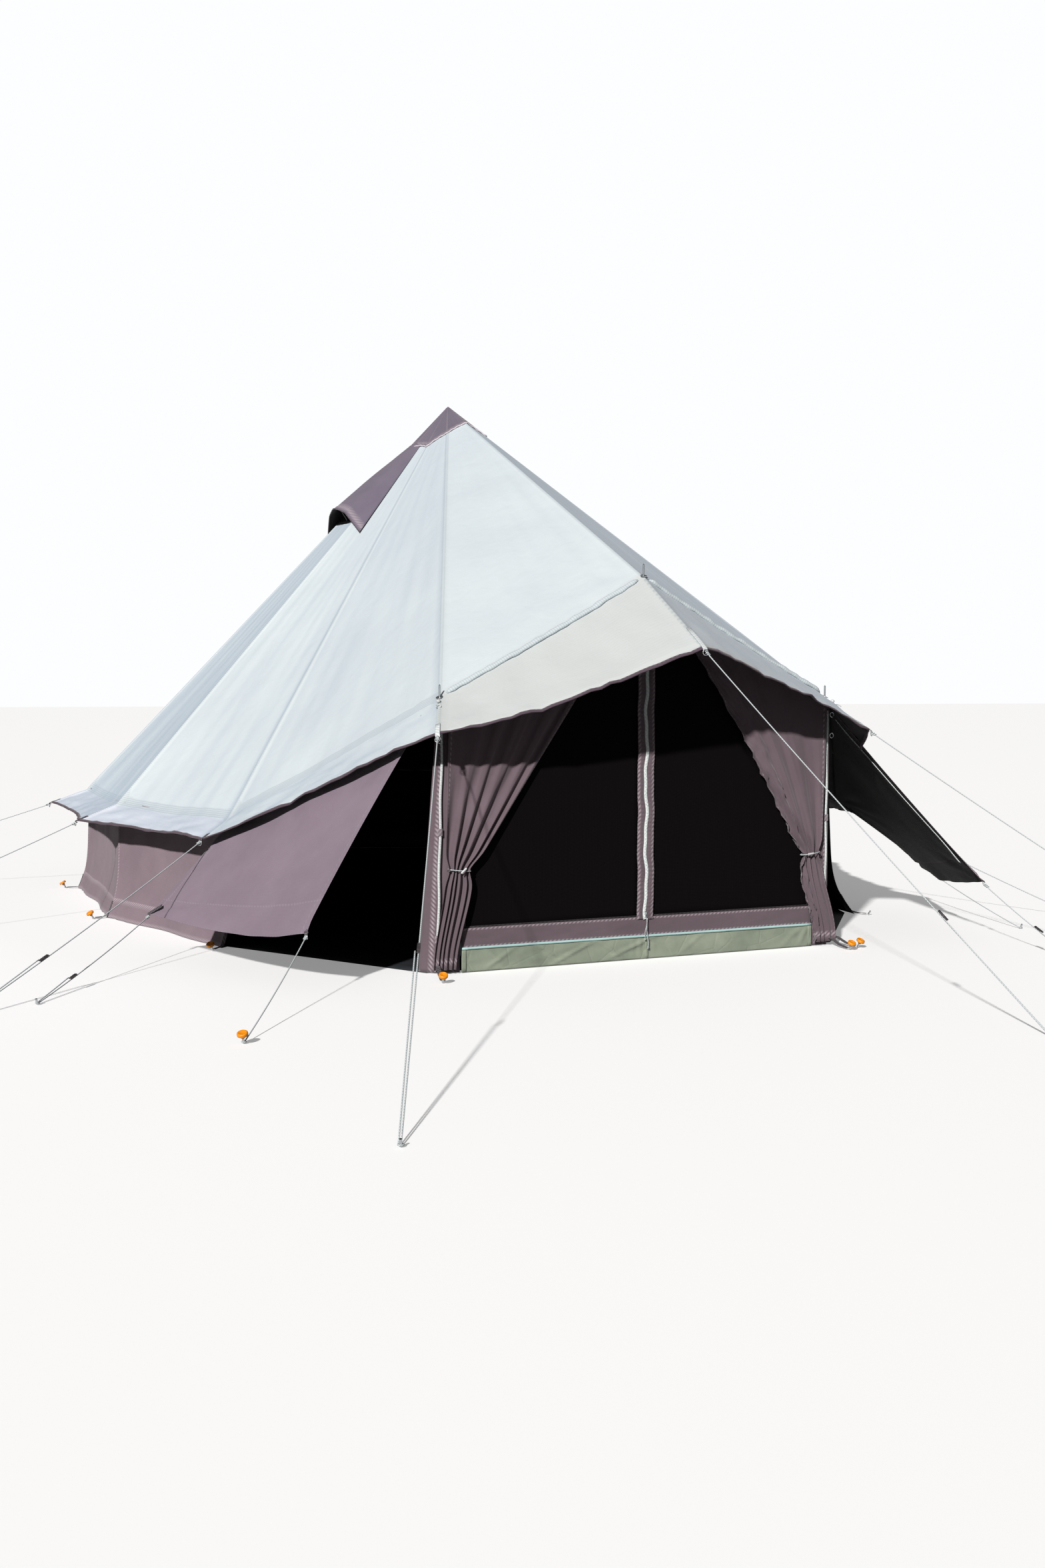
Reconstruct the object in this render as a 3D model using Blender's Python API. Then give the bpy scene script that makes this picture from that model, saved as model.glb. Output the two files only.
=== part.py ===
"""Bell tent with a three-pole front, two lifted side-door panels and its guy ropes.

Metres, +Z up. The front faces -Y. The origin is on the ground, under the centre pole.
"""

import math

import bmesh
import bpy
from mathutils import Matrix, Vector

# Driving dimensions: the frame
APEX_HEIGHT = 3.00
DOOR_PEAK_HEIGHT = 1.75
DOOR_SIDE_HEIGHT = 1.20
DOOR_HALF_WIDTH = 0.98
DOOR_Y = -2.72
WALL_HEIGHT = 0.62
WALL_FLARE = 0.06

# Plan of the low wall: angle from the front in degrees, and distance from the centre pole
CORNER_C = (45.0, 2.42)
CORNER_B = (75.0, 2.18)
CORNER_A = (108.0, 2.26)
CORNER_Z = (143.0, 2.32)
CORNER_K = (180.0, 2.35)

# Eaves: how far each corner stands out past the wall, and how far it falls
EAVE_OUT = 0.22
EAVE_DROP = 0.08
PORCH_PEAK_OUT = 0.57
PORCH_PEAK_DROP = 0.34
PORCH_SIDE_OUT = (0.09, 0.24)
PORCH_SIDE_DROP = 0.15

# Cloth and gaps
CLOTH = 0.002
SEAM_GAP = 0.002
COVER_GAP = 0.004
ROOF_TOP = 0.04
CAP_REACH = 0.10

# Poles
DOOR_POLE_RADIUS = 0.014
CENTRE_POLE_RADIUS = 0.016
POLE_JOINT_HEIGHT = 1.50
SPIKE_RADIUS = 0.004
SPIKE_LENGTH = 0.06
GROMMET_RADIUS = 0.008

# Front wall, from the ground up
THRESHOLD_HEIGHT = 0.09
SILL_HEIGHT = 0.18
MESH_HINGE_X = 0.955
MESH_Y = DOOR_Y - 0.030
ZIP_HALF_WIDTH = 0.042
ZIP_TOP = 1.66
CURTAIN_THICKNESS = 0.030
TIE_HEIGHT = 0.45

# Side-door panels: degrees that the tall edge and the short edge are lifted from closed
PANEL_LIFT_LEFT = (42.0, 54.0)
PANEL_LIFT_RIGHT = (46.0, 60.0)
PANEL_OFFSET = 0.022
PANEL_TOP_GAP = 0.028
PANEL_SIDE_GAP = 0.045
PANEL_TALL_EDGE = 1.13
PANEL_SHORT_EDGE = 0.60

# Vent hood below the apex cap
VENT_ANGLE = 91.0
VENT_START = 0.11
VENT_END = 0.30
VENT_HALF_WIDTH = 0.40
VENT_HEIGHT = 0.090

# Ropes
ROPE_DIAMETER = 0.005
ROPE_SAG = 0.012
ROPE_POINTS = 16
RUNNER_SIZE = (0.050, 0.016, 0.008)
RUNNER_GAP = 0.0015

FABRIC_WHITE = ("roof_cloth", (0.69, 0.74, 0.76), 0.85, 0.0)
FABRIC_MAUVE = ("mauve_cloth", (0.26, 0.19, 0.215), 0.9, 0.0)
FABRIC_SAGE = ("groundsheet_vinyl", (0.42, 0.49, 0.36), 0.55, 0.0)
MESH_BLACK = ("door_mesh", (0.012, 0.011, 0.012), 0.9, 0.0)
STEEL = ("pole_steel", (0.62, 0.63, 0.65), 0.35, 1.0)
RUBBER = ("foot_rubber", (0.03, 0.03, 0.03), 0.8, 0.0)
ROPE_GREY = ("guy_rope", (0.62, 0.64, 0.66), 0.9, 0.0)
PLASTIC_DARK = ("runner_plastic", (0.05, 0.045, 0.05), 0.5, 0.0)
ZIP_METAL = ("zip_metal", (0.7, 0.7, 0.7), 0.3, 1.0)


def clear_scene():
    for old in list(bpy.data.objects):
        bpy.data.objects.remove(old, do_unlink=True)


def material(spec):
    name, colour, roughness, metallic = spec
    found = bpy.data.materials.get(name)
    if found:
        return found
    made = bpy.data.materials.new(name)
    made.use_nodes = True
    shader = made.node_tree.nodes["Principled BSDF"]
    shader.inputs["Base Color"].default_value = (*colour, 1.0)
    shader.inputs["Roughness"].default_value = roughness
    shader.inputs["Metallic"].default_value = metallic
    return made


def add_object(name, data, spec):
    node = bpy.data.objects.new(name, data)
    bpy.context.scene.collection.objects.link(node)
    data.materials.append(material(spec))
    return node


def mesh_object(name, shape, spec):
    bmesh.ops.recalc_face_normals(shape, faces=shape.faces)
    data = bpy.data.meshes.new(name)
    shape.to_mesh(data)
    shape.free()
    return add_object(name, data, spec)


def slab(name, rows, spec, thickness=CLOTH, outward=Vector((0, 0, 1))):
    """One thin closed sheet from rows of points, thickened away from outward."""
    shape = bmesh.new()
    grid = [[shape.verts.new(point) for point in row] for row in rows]
    faces = []
    for upper, lower in zip(grid, grid[1:]):
        for column in range(len(upper) - 1):
            corners = (upper[column], lower[column], lower[column + 1], upper[column + 1])
            faces.append(shape.faces.new(corners))
    cut_faces = bmesh.ops.triangulate(shape, faces=faces, quad_method="SHORT_EDGE")
    faces = cut_faces["faces"]
    bmesh.ops.recalc_face_normals(shape, faces=faces)
    shape.normal_update()
    middle = faces[len(faces) // 2]
    if middle.normal.dot(outward) < 0:
        bmesh.ops.reverse_faces(shape, faces=faces)
    data = bpy.data.meshes.new(name)
    shape.to_mesh(data)
    shape.free()
    node = add_object(name, data, spec)
    wall = node.modifiers.new("thickness", "SOLIDIFY")
    wall.thickness = thickness
    wall.offset = -1.0
    wall.use_even_offset = True
    return node


def prism(name, outline, direction, spec):
    """A flat outline pushed along direction."""
    shape = bmesh.new()
    face = shape.faces.new([shape.verts.new(point) for point in outline])
    pushed = bmesh.ops.extrude_face_region(shape, geom=[face])
    moved = [item for item in pushed["geom"] if isinstance(item, bmesh.types.BMVert)]
    bmesh.ops.translate(shape, vec=direction, verts=moved)
    return mesh_object(name, shape, spec)


def turned(name, profile, centre, spec, steps=16):
    """A round piece from (radius, height) pairs that start and end on the axis."""
    shape = bmesh.new()
    verts = [shape.verts.new((radius, 0.0, height)) for radius, height in profile]
    edges = [shape.edges.new(pair) for pair in zip(verts, verts[1:])]
    bmesh.ops.spin(
        shape, geom=verts + edges, axis=(0, 0, 1), cent=(0, 0, 0), steps=steps, angle=math.tau
    )
    bmesh.ops.remove_doubles(shape, verts=shape.verts, dist=0.00005)
    node = mesh_object(name, shape, spec)
    node.location = centre
    node.data.shade_smooth()
    node.data.set_sharp_from_angle(angle=math.radians(35))
    return node


def polar(corner, side, out=0.0):
    angle, radius = corner
    turn = math.radians(angle)
    return Vector((side * (radius + out) * math.sin(turn), -(radius + out) * math.cos(turn), 0.0))


def wall_top(corner, side):
    return polar(corner, side) + Vector((0, 0, WALL_HEIGHT))


def eave_tip(corner, side):
    return polar(corner, side, EAVE_OUT) + Vector((0, 0, WALL_HEIGHT - EAVE_DROP))


APEX = Vector((0, 0, APEX_HEIGHT))
PEAK = Vector((0, DOOR_Y, DOOR_PEAK_HEIGHT))
PEAK_TIP = PEAK + Vector((0, -PORCH_PEAK_OUT, -PORCH_PEAK_DROP))


def door_top(side):
    return Vector((side * DOOR_HALF_WIDTH, DOOR_Y, DOOR_SIDE_HEIGHT))


def door_tip(side):
    across, forward = PORCH_SIDE_OUT
    return door_top(side) + Vector((side * across, -forward, -PORCH_SIDE_DROP))


def seam_point(corner_point, reach):
    return APEX.lerp(corner_point, reach)


def apart(left, right, gap):
    """Both ends of a span, each drawn in by gap."""
    along = (right - left).normalized() * gap
    return left + along, right - along


def ring_points():
    """The wall-top points all round, from the front peak over the right side to the left."""
    right = [door_top(1)] + [wall_top(c, 1) for c in (CORNER_C, CORNER_B, CORNER_A, CORNER_Z)]
    left = [door_top(-1)] + [wall_top(c, -1) for c in (CORNER_C, CORNER_B, CORNER_A, CORNER_Z)]
    return [PEAK] + right + [wall_top(CORNER_K, 1)] + left[::-1]


def roof_height(x, y):
    """Height of the flat roof panels over a point of the plan."""
    ring = ring_points()
    for first, second in zip(ring, ring[1:] + ring[:1]):
        spread = first.x * second.y - first.y * second.x
        a = (x * second.y - y * second.x) / spread
        b = (first.x * y - first.y * x) / spread
        if a >= -1e-9 and b >= -1e-9:
            return APEX_HEIGHT + a * (first.z - APEX_HEIGHT) + b * (second.z - APEX_HEIGHT)
    return WALL_HEIGHT


def roof_panel(name, first, second, first_tip=None, second_tip=None):
    """One roof gore from the apex to the wall line, and on to the eave if it has tips."""
    rows = [apart(seam_point(first, ROOF_TOP), seam_point(second, ROOF_TOP), SEAM_GAP)]
    rows.append(apart(first, second, SEAM_GAP))
    if first_tip is not None:
        rows.append(apart(first_tip, second_tip, SEAM_GAP))
    return slab(name, rows, FABRIC_WHITE)


def grommet_cutter(name, place):
    bpy.ops.mesh.primitive_cylinder_add(
        vertices=12, radius=GROMMET_RADIUS, depth=0.1, location=place
    )
    cutter = bpy.context.object
    cutter.name = name
    cutter.hide_render = True
    cutter.display_type = "WIRE"
    return cutter


def cut(node, cutter):
    hole = node.modifiers.new("grommet", "BOOLEAN")
    hole.operation = "DIFFERENCE"
    hole.object = cutter
    hole.solver = "EXACT"


def make_roof():
    peak_cutter = grommet_cutter("peak_cutter", PEAK)
    for side, word in ((-1, "left"), (1, "right")):
        side_cutter = grommet_cutter(f"side_cutter_{word}", door_top(side))
        front = roof_panel(f"roof_front_{word}", PEAK, door_top(side))
        porch_rows = [
            apart(PEAK, door_top(side), SEAM_GAP),
            apart(PEAK_TIP, door_tip(side), SEAM_GAP),
        ]
        down = (PEAK_TIP - PEAK).normalized() * SEAM_GAP
        porch_rows[0] = [point + down for point in porch_rows[0]]
        porch = slab(f"porch_canopy_{word}", porch_rows, FABRIC_WHITE)
        door_gore = roof_panel(
            f"roof_door_{word}",
            door_top(side),
            wall_top(CORNER_C, side),
            door_tip(side),
            eave_tip(CORNER_C, side),
        )
        for node in (front, porch):
            cut(node, peak_cutter)
        for node in (front, porch, door_gore):
            cut(node, side_cutter)
        corners = [CORNER_C, CORNER_B, CORNER_A, CORNER_Z, CORNER_K]
        names = ["side", "flank", "rear", "back"]
        for label, first, second in zip(names, corners, corners[1:]):
            roof_panel(
                f"roof_{label}_{word}",
                wall_top(first, side),
                wall_top(second, side),
                eave_tip(first, side),
                eave_tip(second, side),
            )


def make_walls():
    corners = [CORNER_C, CORNER_B, CORNER_A, CORNER_Z, CORNER_K]
    names = ["side", "flank", "rear", "back"]
    under_roof = Vector((0, 0, WALL_HEIGHT - 0.012))
    on_ground = Vector((0, 0, 0.001))
    for side, word in ((-1, "left"), (1, "right")):
        for label, first, second in zip(names, corners, corners[1:]):
            top = apart(polar(first, side), polar(second, side), 0.004)
            foot = apart(polar(first, side, WALL_FLARE), polar(second, side, WALL_FLARE), 0.004)
            rows = [[point + under_roof for point in top], [point + on_ground for point in foot]]
            outward = (top[0] + top[1]).normalized()
            slab(f"wall_{label}_{word}", rows, FABRIC_MAUVE, outward=outward)


def make_groundsheet():
    ring = [Vector((DOOR_HALF_WIDTH - 0.02, DOOR_Y + 0.02, 0))]
    ring += [polar(c, 1, -0.02) for c in (CORNER_C, CORNER_B, CORNER_A, CORNER_Z, CORNER_K)]
    ring += [polar(c, -1, -0.02) for c in (CORNER_Z, CORNER_A, CORNER_B, CORNER_C)]
    ring.append(Vector((-DOOR_HALF_WIDTH + 0.02, DOOR_Y + 0.02, 0)))
    prism("groundsheet", ring, Vector((0, 0, 0.003)), FABRIC_SAGE)


def front_strip(name, x_low, x_high, z_low, z_high, y, spec):
    outline = [(x_low, y, z_low), (x_high, y, z_low), (x_high, y, z_high), (x_low, y, z_high)]
    return prism(name, outline, Vector((0, -CLOTH, 0)), spec)


def make_front_wall():
    half = DOOR_HALF_WIDTH - 0.085
    front_strip("threshold", -half, half, 0.0, THRESHOLD_HEIGHT, MESH_Y - 0.004, FABRIC_SAGE)
    front_strip("sill", -half, half, THRESHOLD_HEIGHT + 0.001, SILL_HEIGHT, MESH_Y, FABRIC_MAUVE)
    zip_y = MESH_Y - 0.006
    front_strip(
        "door_zip", -ZIP_HALF_WIDTH, ZIP_HALF_WIDTH, SILL_HEIGHT + 0.004, ZIP_TOP, zip_y, FABRIC_MAUVE
    )
    slope = (DOOR_PEAK_HEIGHT - DOOR_SIDE_HEIGHT) / DOOR_HALF_WIDTH

    def under_eave(x, gap):
        return DOOR_PEAK_HEIGHT - slope * abs(x) - gap

    for side, word in ((-1, "left"), (1, "right")):
        outer = side * (DOOR_HALF_WIDTH + 0.02)
        inner = side * (DOOR_HALF_WIDTH - 0.08)
        column = [
            (outer, MESH_Y, 0.001),
            (inner, MESH_Y, 0.001),
            (inner, MESH_Y, under_eave(inner, 0.05)),
            (outer, MESH_Y, under_eave(outer, 0.05)),
        ]
        hinge = side * (MESH_HINGE_X - 0.062)
        free = side * 0.022
        prism(f"corner_column_{word}", column, Vector((0, -CLOTH, 0)), FABRIC_MAUVE)
        leaf = [
            (hinge, MESH_Y + 0.004, SILL_HEIGHT + 0.004),
            (free, MESH_Y + 0.004, SILL_HEIGHT + 0.004),
            (free, MESH_Y + 0.004, under_eave(free, 0.05)),
            (hinge, MESH_Y + 0.004, under_eave(hinge, 0.05)),
        ]
        prism(f"mesh_door_{word}", leaf, Vector((0, CLOTH, 0)), MESH_BLACK)
        curtain_y = MESH_Y - 0.012
        outline = [
            (0.060, under_eave(0.060, 0.085)),
            (0.790, TIE_HEIGHT + 0.03),
            (0.825, TIE_HEIGHT - 0.03),
            (0.890, 0.03),
            (0.960, 0.03),
            (0.930, TIE_HEIGHT),
            (0.955, under_eave(0.955, 0.085)),
        ]
        curtain = [(side * x, curtain_y, z) for x, z in outline]
        prism(f"curtain_{word}", curtain, Vector((0, -CURTAIN_THICKNESS, 0)), FABRIC_MAUVE)


def make_pole(name, place, height, radius, foot=0.0035):
    shoulder = height - 0.024
    profile = [
        (0.0, foot),
        (radius * 0.8, foot),
        (radius, foot + 0.004),
        (radius, shoulder - 0.006),
        (radius * 0.7, shoulder),
        (SPIKE_RADIUS, shoulder),
        (SPIKE_RADIUS, height + SPIKE_LENGTH - 0.006),
        (0.0, height + SPIKE_LENGTH),
    ]
    return turned(name, profile, (place.x, place.y, 0.0), STEEL, steps=14)


def make_poles():
    make_pole("door_pole_centre", PEAK, DOOR_PEAK_HEIGHT, DOOR_POLE_RADIUS)
    for side, word in ((-1, "left"), (1, "right")):
        make_pole(f"door_pole_{word}", door_top(side), DOOR_SIDE_HEIGHT, DOOR_POLE_RADIUS, 0.0)
    foot = [(0.0, 0.0035), (0.034, 0.0035), (0.034, 0.012), (0.022, 0.040), (0.0, 0.040)]
    turned("centre_pole_foot", foot, (0, 0, 0), RUBBER)
    wide = CENTRE_POLE_RADIUS
    narrow = wide - 0.002
    lower = [(0.0, 0.0405), (wide, 0.0405), (wide, POLE_JOINT_HEIGHT), (0.0, POLE_JOINT_HEIGHT)]
    turned("centre_pole_lower", lower, (0, 0, 0), STEEL)
    joint = POLE_JOINT_HEIGHT + 0.0005
    top = APEX_HEIGHT - 0.030
    upper = [
        (0.0, joint),
        (wide, joint),
        (wide, joint + 0.08),
        (narrow, joint + 0.09),
        (narrow, top - 0.02),
        (0.0, top),
    ]
    turned("centre_pole_upper", upper, (0, 0, 0), STEEL)


def make_apex_cap():
    ring = ring_points()
    lift = Vector((0, 0, COVER_GAP))
    shape = bmesh.new()
    tip = shape.verts.new(APEX + lift)
    edge = [shape.verts.new(seam_point(point, CAP_REACH) + lift) for point in ring]
    for first, second in zip(edge, edge[1:] + edge[:1]):
        shape.faces.new((tip, first, second))
    bmesh.ops.recalc_face_normals(shape, faces=shape.faces)
    if sum(face.normal.z for face in shape.faces) < 0:
        bmesh.ops.reverse_faces(shape, faces=shape.faces)
    data = bpy.data.meshes.new("apex_cap")
    shape.to_mesh(data)
    shape.free()
    node = add_object("apex_cap", data, FABRIC_MAUVE)
    wall = node.modifiers.new("thickness", "SOLIDIFY")
    wall.thickness = CLOTH
    wall.offset = 1.0
    wall.use_even_offset = True


def make_vent_hood():
    """An arched hood that opens downhill, rising from nothing under the cap to its mouth."""
    turn = math.radians(VENT_ANGLE)
    down = Vector((-math.sin(turn), -math.cos(turn), 0.0))
    across = Vector((-down.y, down.x, 0.0))
    length = CORNER_A[1]
    steps = 8
    segments = 12
    rows = []
    for step in range(steps + 1):
        part = step / steps
        reach = length * (VENT_START + part * (VENT_END - VENT_START))
        half = VENT_HALF_WIDTH * (0.35 + 0.65 * part)
        rise = VENT_HEIGHT * part ** 0.8
        row = []
        for segment in range(segments + 1):
            swing = math.pi * segment / segments
            offset = -math.cos(swing) * half
            place = down * reach + across * offset
            height = roof_height(place.x, place.y) + 0.012 + rise * math.sin(swing)
            row.append(Vector((place.x, place.y, height)) + down * (0.6 * rise * math.sin(swing)))
        rows.append(row)
    slab("vent_hood", rows, FABRIC_MAUVE, thickness=0.003, outward=Vector((0, 0, 1)))


def door_frame(side):
    """Hinge ends of a side-door panel, and the direction out through the doorway."""
    tall = door_top(side)
    short = wall_top(CORNER_C, side)
    along = short - tall
    out = Vector((side * abs(along.y), -abs(along.x), 0.0)).normalized()
    shift = out * PANEL_OFFSET - Vector((0, 0, PANEL_TOP_GAP))
    return tall + shift, short + shift, out


def lifted_point(point, pivot, axis, angle):
    return pivot + Matrix.Rotation(angle, 3, axis) @ (point - pivot)


def panel_corners(side):
    """The four corners of a lifted panel: two at the hinge, then two at the free edge."""
    tall, short, out = door_frame(side)
    axis = (short - tall).normalized() * -side
    tall_lift, short_lift = PANEL_LIFT_LEFT if side < 0 else PANEL_LIFT_RIGHT
    tall, short = apart(tall, short, PANEL_SIDE_GAP)
    hanging_tall = tall - Vector((0, 0, PANEL_TALL_EDGE))
    hanging_short = short - Vector((0, 0, PANEL_SHORT_EDGE))
    low_tall = lifted_point(hanging_tall, tall, axis, math.radians(tall_lift))
    low_short = lifted_point(hanging_short, short, axis, math.radians(short_lift))
    return tall, short, low_tall, low_short


def make_side_panels():
    for side, word in ((-1, "left"), (1, "right")):
        tall, short, low_tall, low_short = panel_corners(side)
        rows = [[tall, short], [low_tall, low_short]]
        slab(f"side_panel_{word}", rows, FABRIC_MAUVE)


def rope_place(start, end, part):
    """A place along a taut rope that sags slightly under its own weight."""
    sag = ROPE_SAG * 4 * part * (1 - part)
    return start.lerp(end, part) - Vector((0, 0, sag))


def rope_slope(start, end, part):
    """The rope's direction at a place along it."""
    return (end - start - Vector((0, 0, ROPE_SAG * 4 * (1 - 2 * part)))).normalized()


def rope(name, start, end):
    data = bpy.data.curves.new(name, "CURVE")
    data.dimensions = "3D"
    data.bevel_depth = ROPE_DIAMETER / 2
    data.bevel_resolution = 2
    data.use_fill_caps = True
    route = [rope_place(start, end, step / ROPE_POINTS) for step in range(ROPE_POINTS + 1)]
    line = data.splines.new("POLY")
    line.points.add(len(route) - 1)
    for knot, point in zip(line.points, route):
        knot.co = (*point, 1.0)
    return add_object(name, data, ROPE_GREY)


def runner(name, start, end, part):
    """A flat two-hole tensioner that rides just above its rope."""
    along = rope_slope(start, end, part)
    length, width, thickness = RUNNER_SIZE
    bpy.ops.mesh.primitive_cube_add(size=1.0)
    node = bpy.context.object
    node.name = name
    node.data.transform(Matrix.Diagonal((length, width, thickness, 1.0)))
    normal = along.cross(Vector((0, 0, 1))).cross(along).normalized()
    lift = normal * (ROPE_DIAMETER / 2 + thickness / 2 + RUNNER_GAP)
    node.location = rope_place(start, end, part) + lift
    node.rotation_euler = along.to_track_quat("X", "Z").to_euler()
    node.data.materials.append(material(PLASTIC_DARK))
    return node


def ground(x, y):
    return Vector((x, y, 0.006))


def below(point, drop=0.008):
    return point - Vector((0, 0, drop))


def make_ropes():
    lines = {
        "guy_rear_left": (below(eave_tip(CORNER_A, -1)), ground(-4.02, 1.30)),
        "guy_flank_left": (below(eave_tip(CORNER_B, -1)), ground(-3.72, -1.16)),
        "guy_side_left": (below(eave_tip(CORNER_C, -1)), ground(-2.94, -2.92)),
        "guy_door_left": (below(door_tip(-1)), ground(-1.85, -4.96)),
        "guy_peak": (below(PEAK_TIP), ground(0.66, -4.64)),
        "guy_door_right": (below(door_tip(1)), ground(2.25, -4.00)),
        "guy_side_right": (below(eave_tip(CORNER_C, 1)), ground(2.77, -2.50)),
    }
    for side, word, tall_peg, short_peg in (
        (-1, "left", ground(-2.02, -3.66), ground(-2.65, -2.73)),
        (1, "right", ground(1.80, -3.55), ground(2.19, -2.72)),
    ):
        corners = panel_corners(side)
        lines[f"panel_guy_tall_{word}"] = (below(corners[2]), tall_peg)
        lines[f"panel_guy_short_{word}"] = (below(corners[3]), short_peg)
    for name, (start, end) in lines.items():
        rope(name, start, end)
    for name, part in (
        ("guy_side_left", 0.70),
        ("guy_door_left", 0.62),
        ("guy_peak", 0.72),
        ("panel_guy_short_left", 0.72),
        ("panel_guy_tall_right", 0.60),
    ):
        runner(f"runner_{name}", *lines[name], part)


def make_zip_slider():
    bpy.ops.mesh.primitive_cube_add(size=1.0)
    node = bpy.context.object
    node.name = "zip_slider"
    node.data.transform(Matrix.Diagonal((0.012, 0.007, 0.030, 1.0)))
    node.location = (0.0, MESH_Y - 0.006 - CLOTH - 0.001 - 0.0035, SILL_HEIGHT + 0.03)
    node.data.materials.append(material(ZIP_METAL))


clear_scene()
make_roof()
make_walls()
make_groundsheet()
make_front_wall()
make_poles()
make_apex_cap()
make_vent_hood()
make_side_panels()
make_ropes()
make_zip_slider()
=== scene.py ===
"""The looks of a bell tent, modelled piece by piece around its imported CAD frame."""

import math

import bmesh
import bpy
from mathutils import Matrix, Vector, noise


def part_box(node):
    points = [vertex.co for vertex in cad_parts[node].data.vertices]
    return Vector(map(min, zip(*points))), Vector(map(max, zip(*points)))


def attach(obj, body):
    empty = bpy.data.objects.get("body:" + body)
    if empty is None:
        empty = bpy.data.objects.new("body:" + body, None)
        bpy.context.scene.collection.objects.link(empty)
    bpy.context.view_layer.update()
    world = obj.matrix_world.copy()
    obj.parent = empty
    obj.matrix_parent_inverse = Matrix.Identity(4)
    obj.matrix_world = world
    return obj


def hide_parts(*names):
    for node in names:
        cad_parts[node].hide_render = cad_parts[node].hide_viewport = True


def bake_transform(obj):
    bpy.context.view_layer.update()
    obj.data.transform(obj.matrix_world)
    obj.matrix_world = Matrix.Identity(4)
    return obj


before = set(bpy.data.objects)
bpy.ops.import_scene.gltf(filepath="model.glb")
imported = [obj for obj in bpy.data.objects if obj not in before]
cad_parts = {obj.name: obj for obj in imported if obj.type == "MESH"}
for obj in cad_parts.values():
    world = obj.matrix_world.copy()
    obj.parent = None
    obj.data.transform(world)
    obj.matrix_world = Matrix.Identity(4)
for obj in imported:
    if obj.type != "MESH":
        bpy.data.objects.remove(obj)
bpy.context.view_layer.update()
for cad_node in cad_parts.values():
    cad_node.select_set(False)


# ---------------------------------------------------------------- studio
# A plain pale floor, a soft sun from the upper front left with an even white
# surround, and the camera low at the front left of the tent.
def linear(hex_colour):
    """An sRGB hex colour as linear RGBA."""
    parts = [int(hex_colour[place:place + 2], 16) / 255 for place in (1, 3, 5)]
    return tuple(p / 12.92 if p <= 0.04045 else ((p + 0.055) / 1.055) ** 2.4 for p in parts) + (1.0,)


def add_node(tree, kind, settings=None, links=None):
    """One shader node, with its settings made and its inputs fed."""
    made = tree.nodes.new(kind)
    for name, value in (settings or {}).items():
        if isinstance(name, str) and hasattr(made, name):
            setattr(made, name, value)
        else:
            made.inputs[name].default_value = value
    for name, source in (links or {}).items():
        tree.links.new(source, made.inputs[name])
    return made


def new_finish(name, colour, roughness, metallic=0.0):
    """A material with its plain values on the shader's own sockets."""
    made = bpy.data.materials.new(name)
    made.use_nodes = True
    shader = made.node_tree.nodes["Principled BSDF"]
    shader.inputs["Base Color"].default_value = linear(colour)
    shader.inputs["Roughness"].default_value = roughness
    shader.inputs["Metallic"].default_value = metallic
    return made, made.node_tree, shader


def link_object(name, data):
    made = bpy.data.objects.new(name, data)
    bpy.context.scene.collection.objects.link(made)
    return made


camera_data = bpy.data.cameras.new("camera")
camera_data.sensor_width = 36.0
camera_data.lens = 32.97
camera_data.clip_end = 300.0
camera = link_object("camera", camera_data)
camera.location = (-2.9693, -8.6172, 1.2239)
camera.rotation_euler = Vector((0.3729, 0.9257, -0.0636)).to_track_quat("-Z", "Y").to_euler()
bpy.context.scene.camera = camera

FLOOR_SIZE = 240.0
FLOOR_GLOW = 0.26
bpy.ops.mesh.primitive_plane_add(size=FLOOR_SIZE, location=(0, 0, -0.0005))
floor = bpy.context.object
floor.name = "studio_floor"
floor_paint, _, floor_shader = new_finish("matt_floor_paint", "#F7F7F7", 0.95)
floor_shader.inputs["Emission Color"].default_value = linear("#FFFFFF")
floor_shader.inputs["Emission Strength"].default_value = FLOOR_GLOW
floor.data.materials.append(floor_paint)
floor.visible_diffuse = False
floor.select_set(False)

SUN_FROM = Vector((-0.94, -1.0, 0.78))
SUN_STRENGTH = 4.1
SHADE_STRENGTH = 0.105
sun_data = bpy.data.lights.new("sun", "SUN")
sun_data.energy = SUN_STRENGTH
sun_data.angle = math.radians(2.0)
sun_data.color = linear("#FFFDFB")[:3]
sun = link_object("sun", sun_data)
sun.rotation_euler = SUN_FROM.to_track_quat("Z", "Y").to_euler()

surround = bpy.data.worlds.new("white_surround")
bpy.context.scene.world = surround
surround.use_nodes = True
sky = surround.node_tree.nodes["Background"]
sky.inputs["Color"].default_value = linear("#FDFEFF")
seen = add_node(surround.node_tree, "ShaderNodeLightPath")
strength = add_node(
    surround.node_tree, "ShaderNodeMapRange", {"To Min": SHADE_STRENGTH, "To Max": 1.0},
    {0: seen.outputs["Is Camera Ray"]},
)
surround.node_tree.links.new(strength.outputs[0], sky.inputs["Strength"])
bpy.context.scene.view_settings.view_transform = "Standard"


# ---------------------------------------------------------------- guy ropes
# Braided polyester guy ropes, 5 mm thick. Each is tied to a tab of the tent with a
# bowline and ends in a loop round the neck of a ground peg; five of them pass a tensioner.
ROPE_THICK = 0.005
ROPE_SAG = 0.012
ROPE_STEPS = 48
ROPE_SIDES = 8


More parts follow.
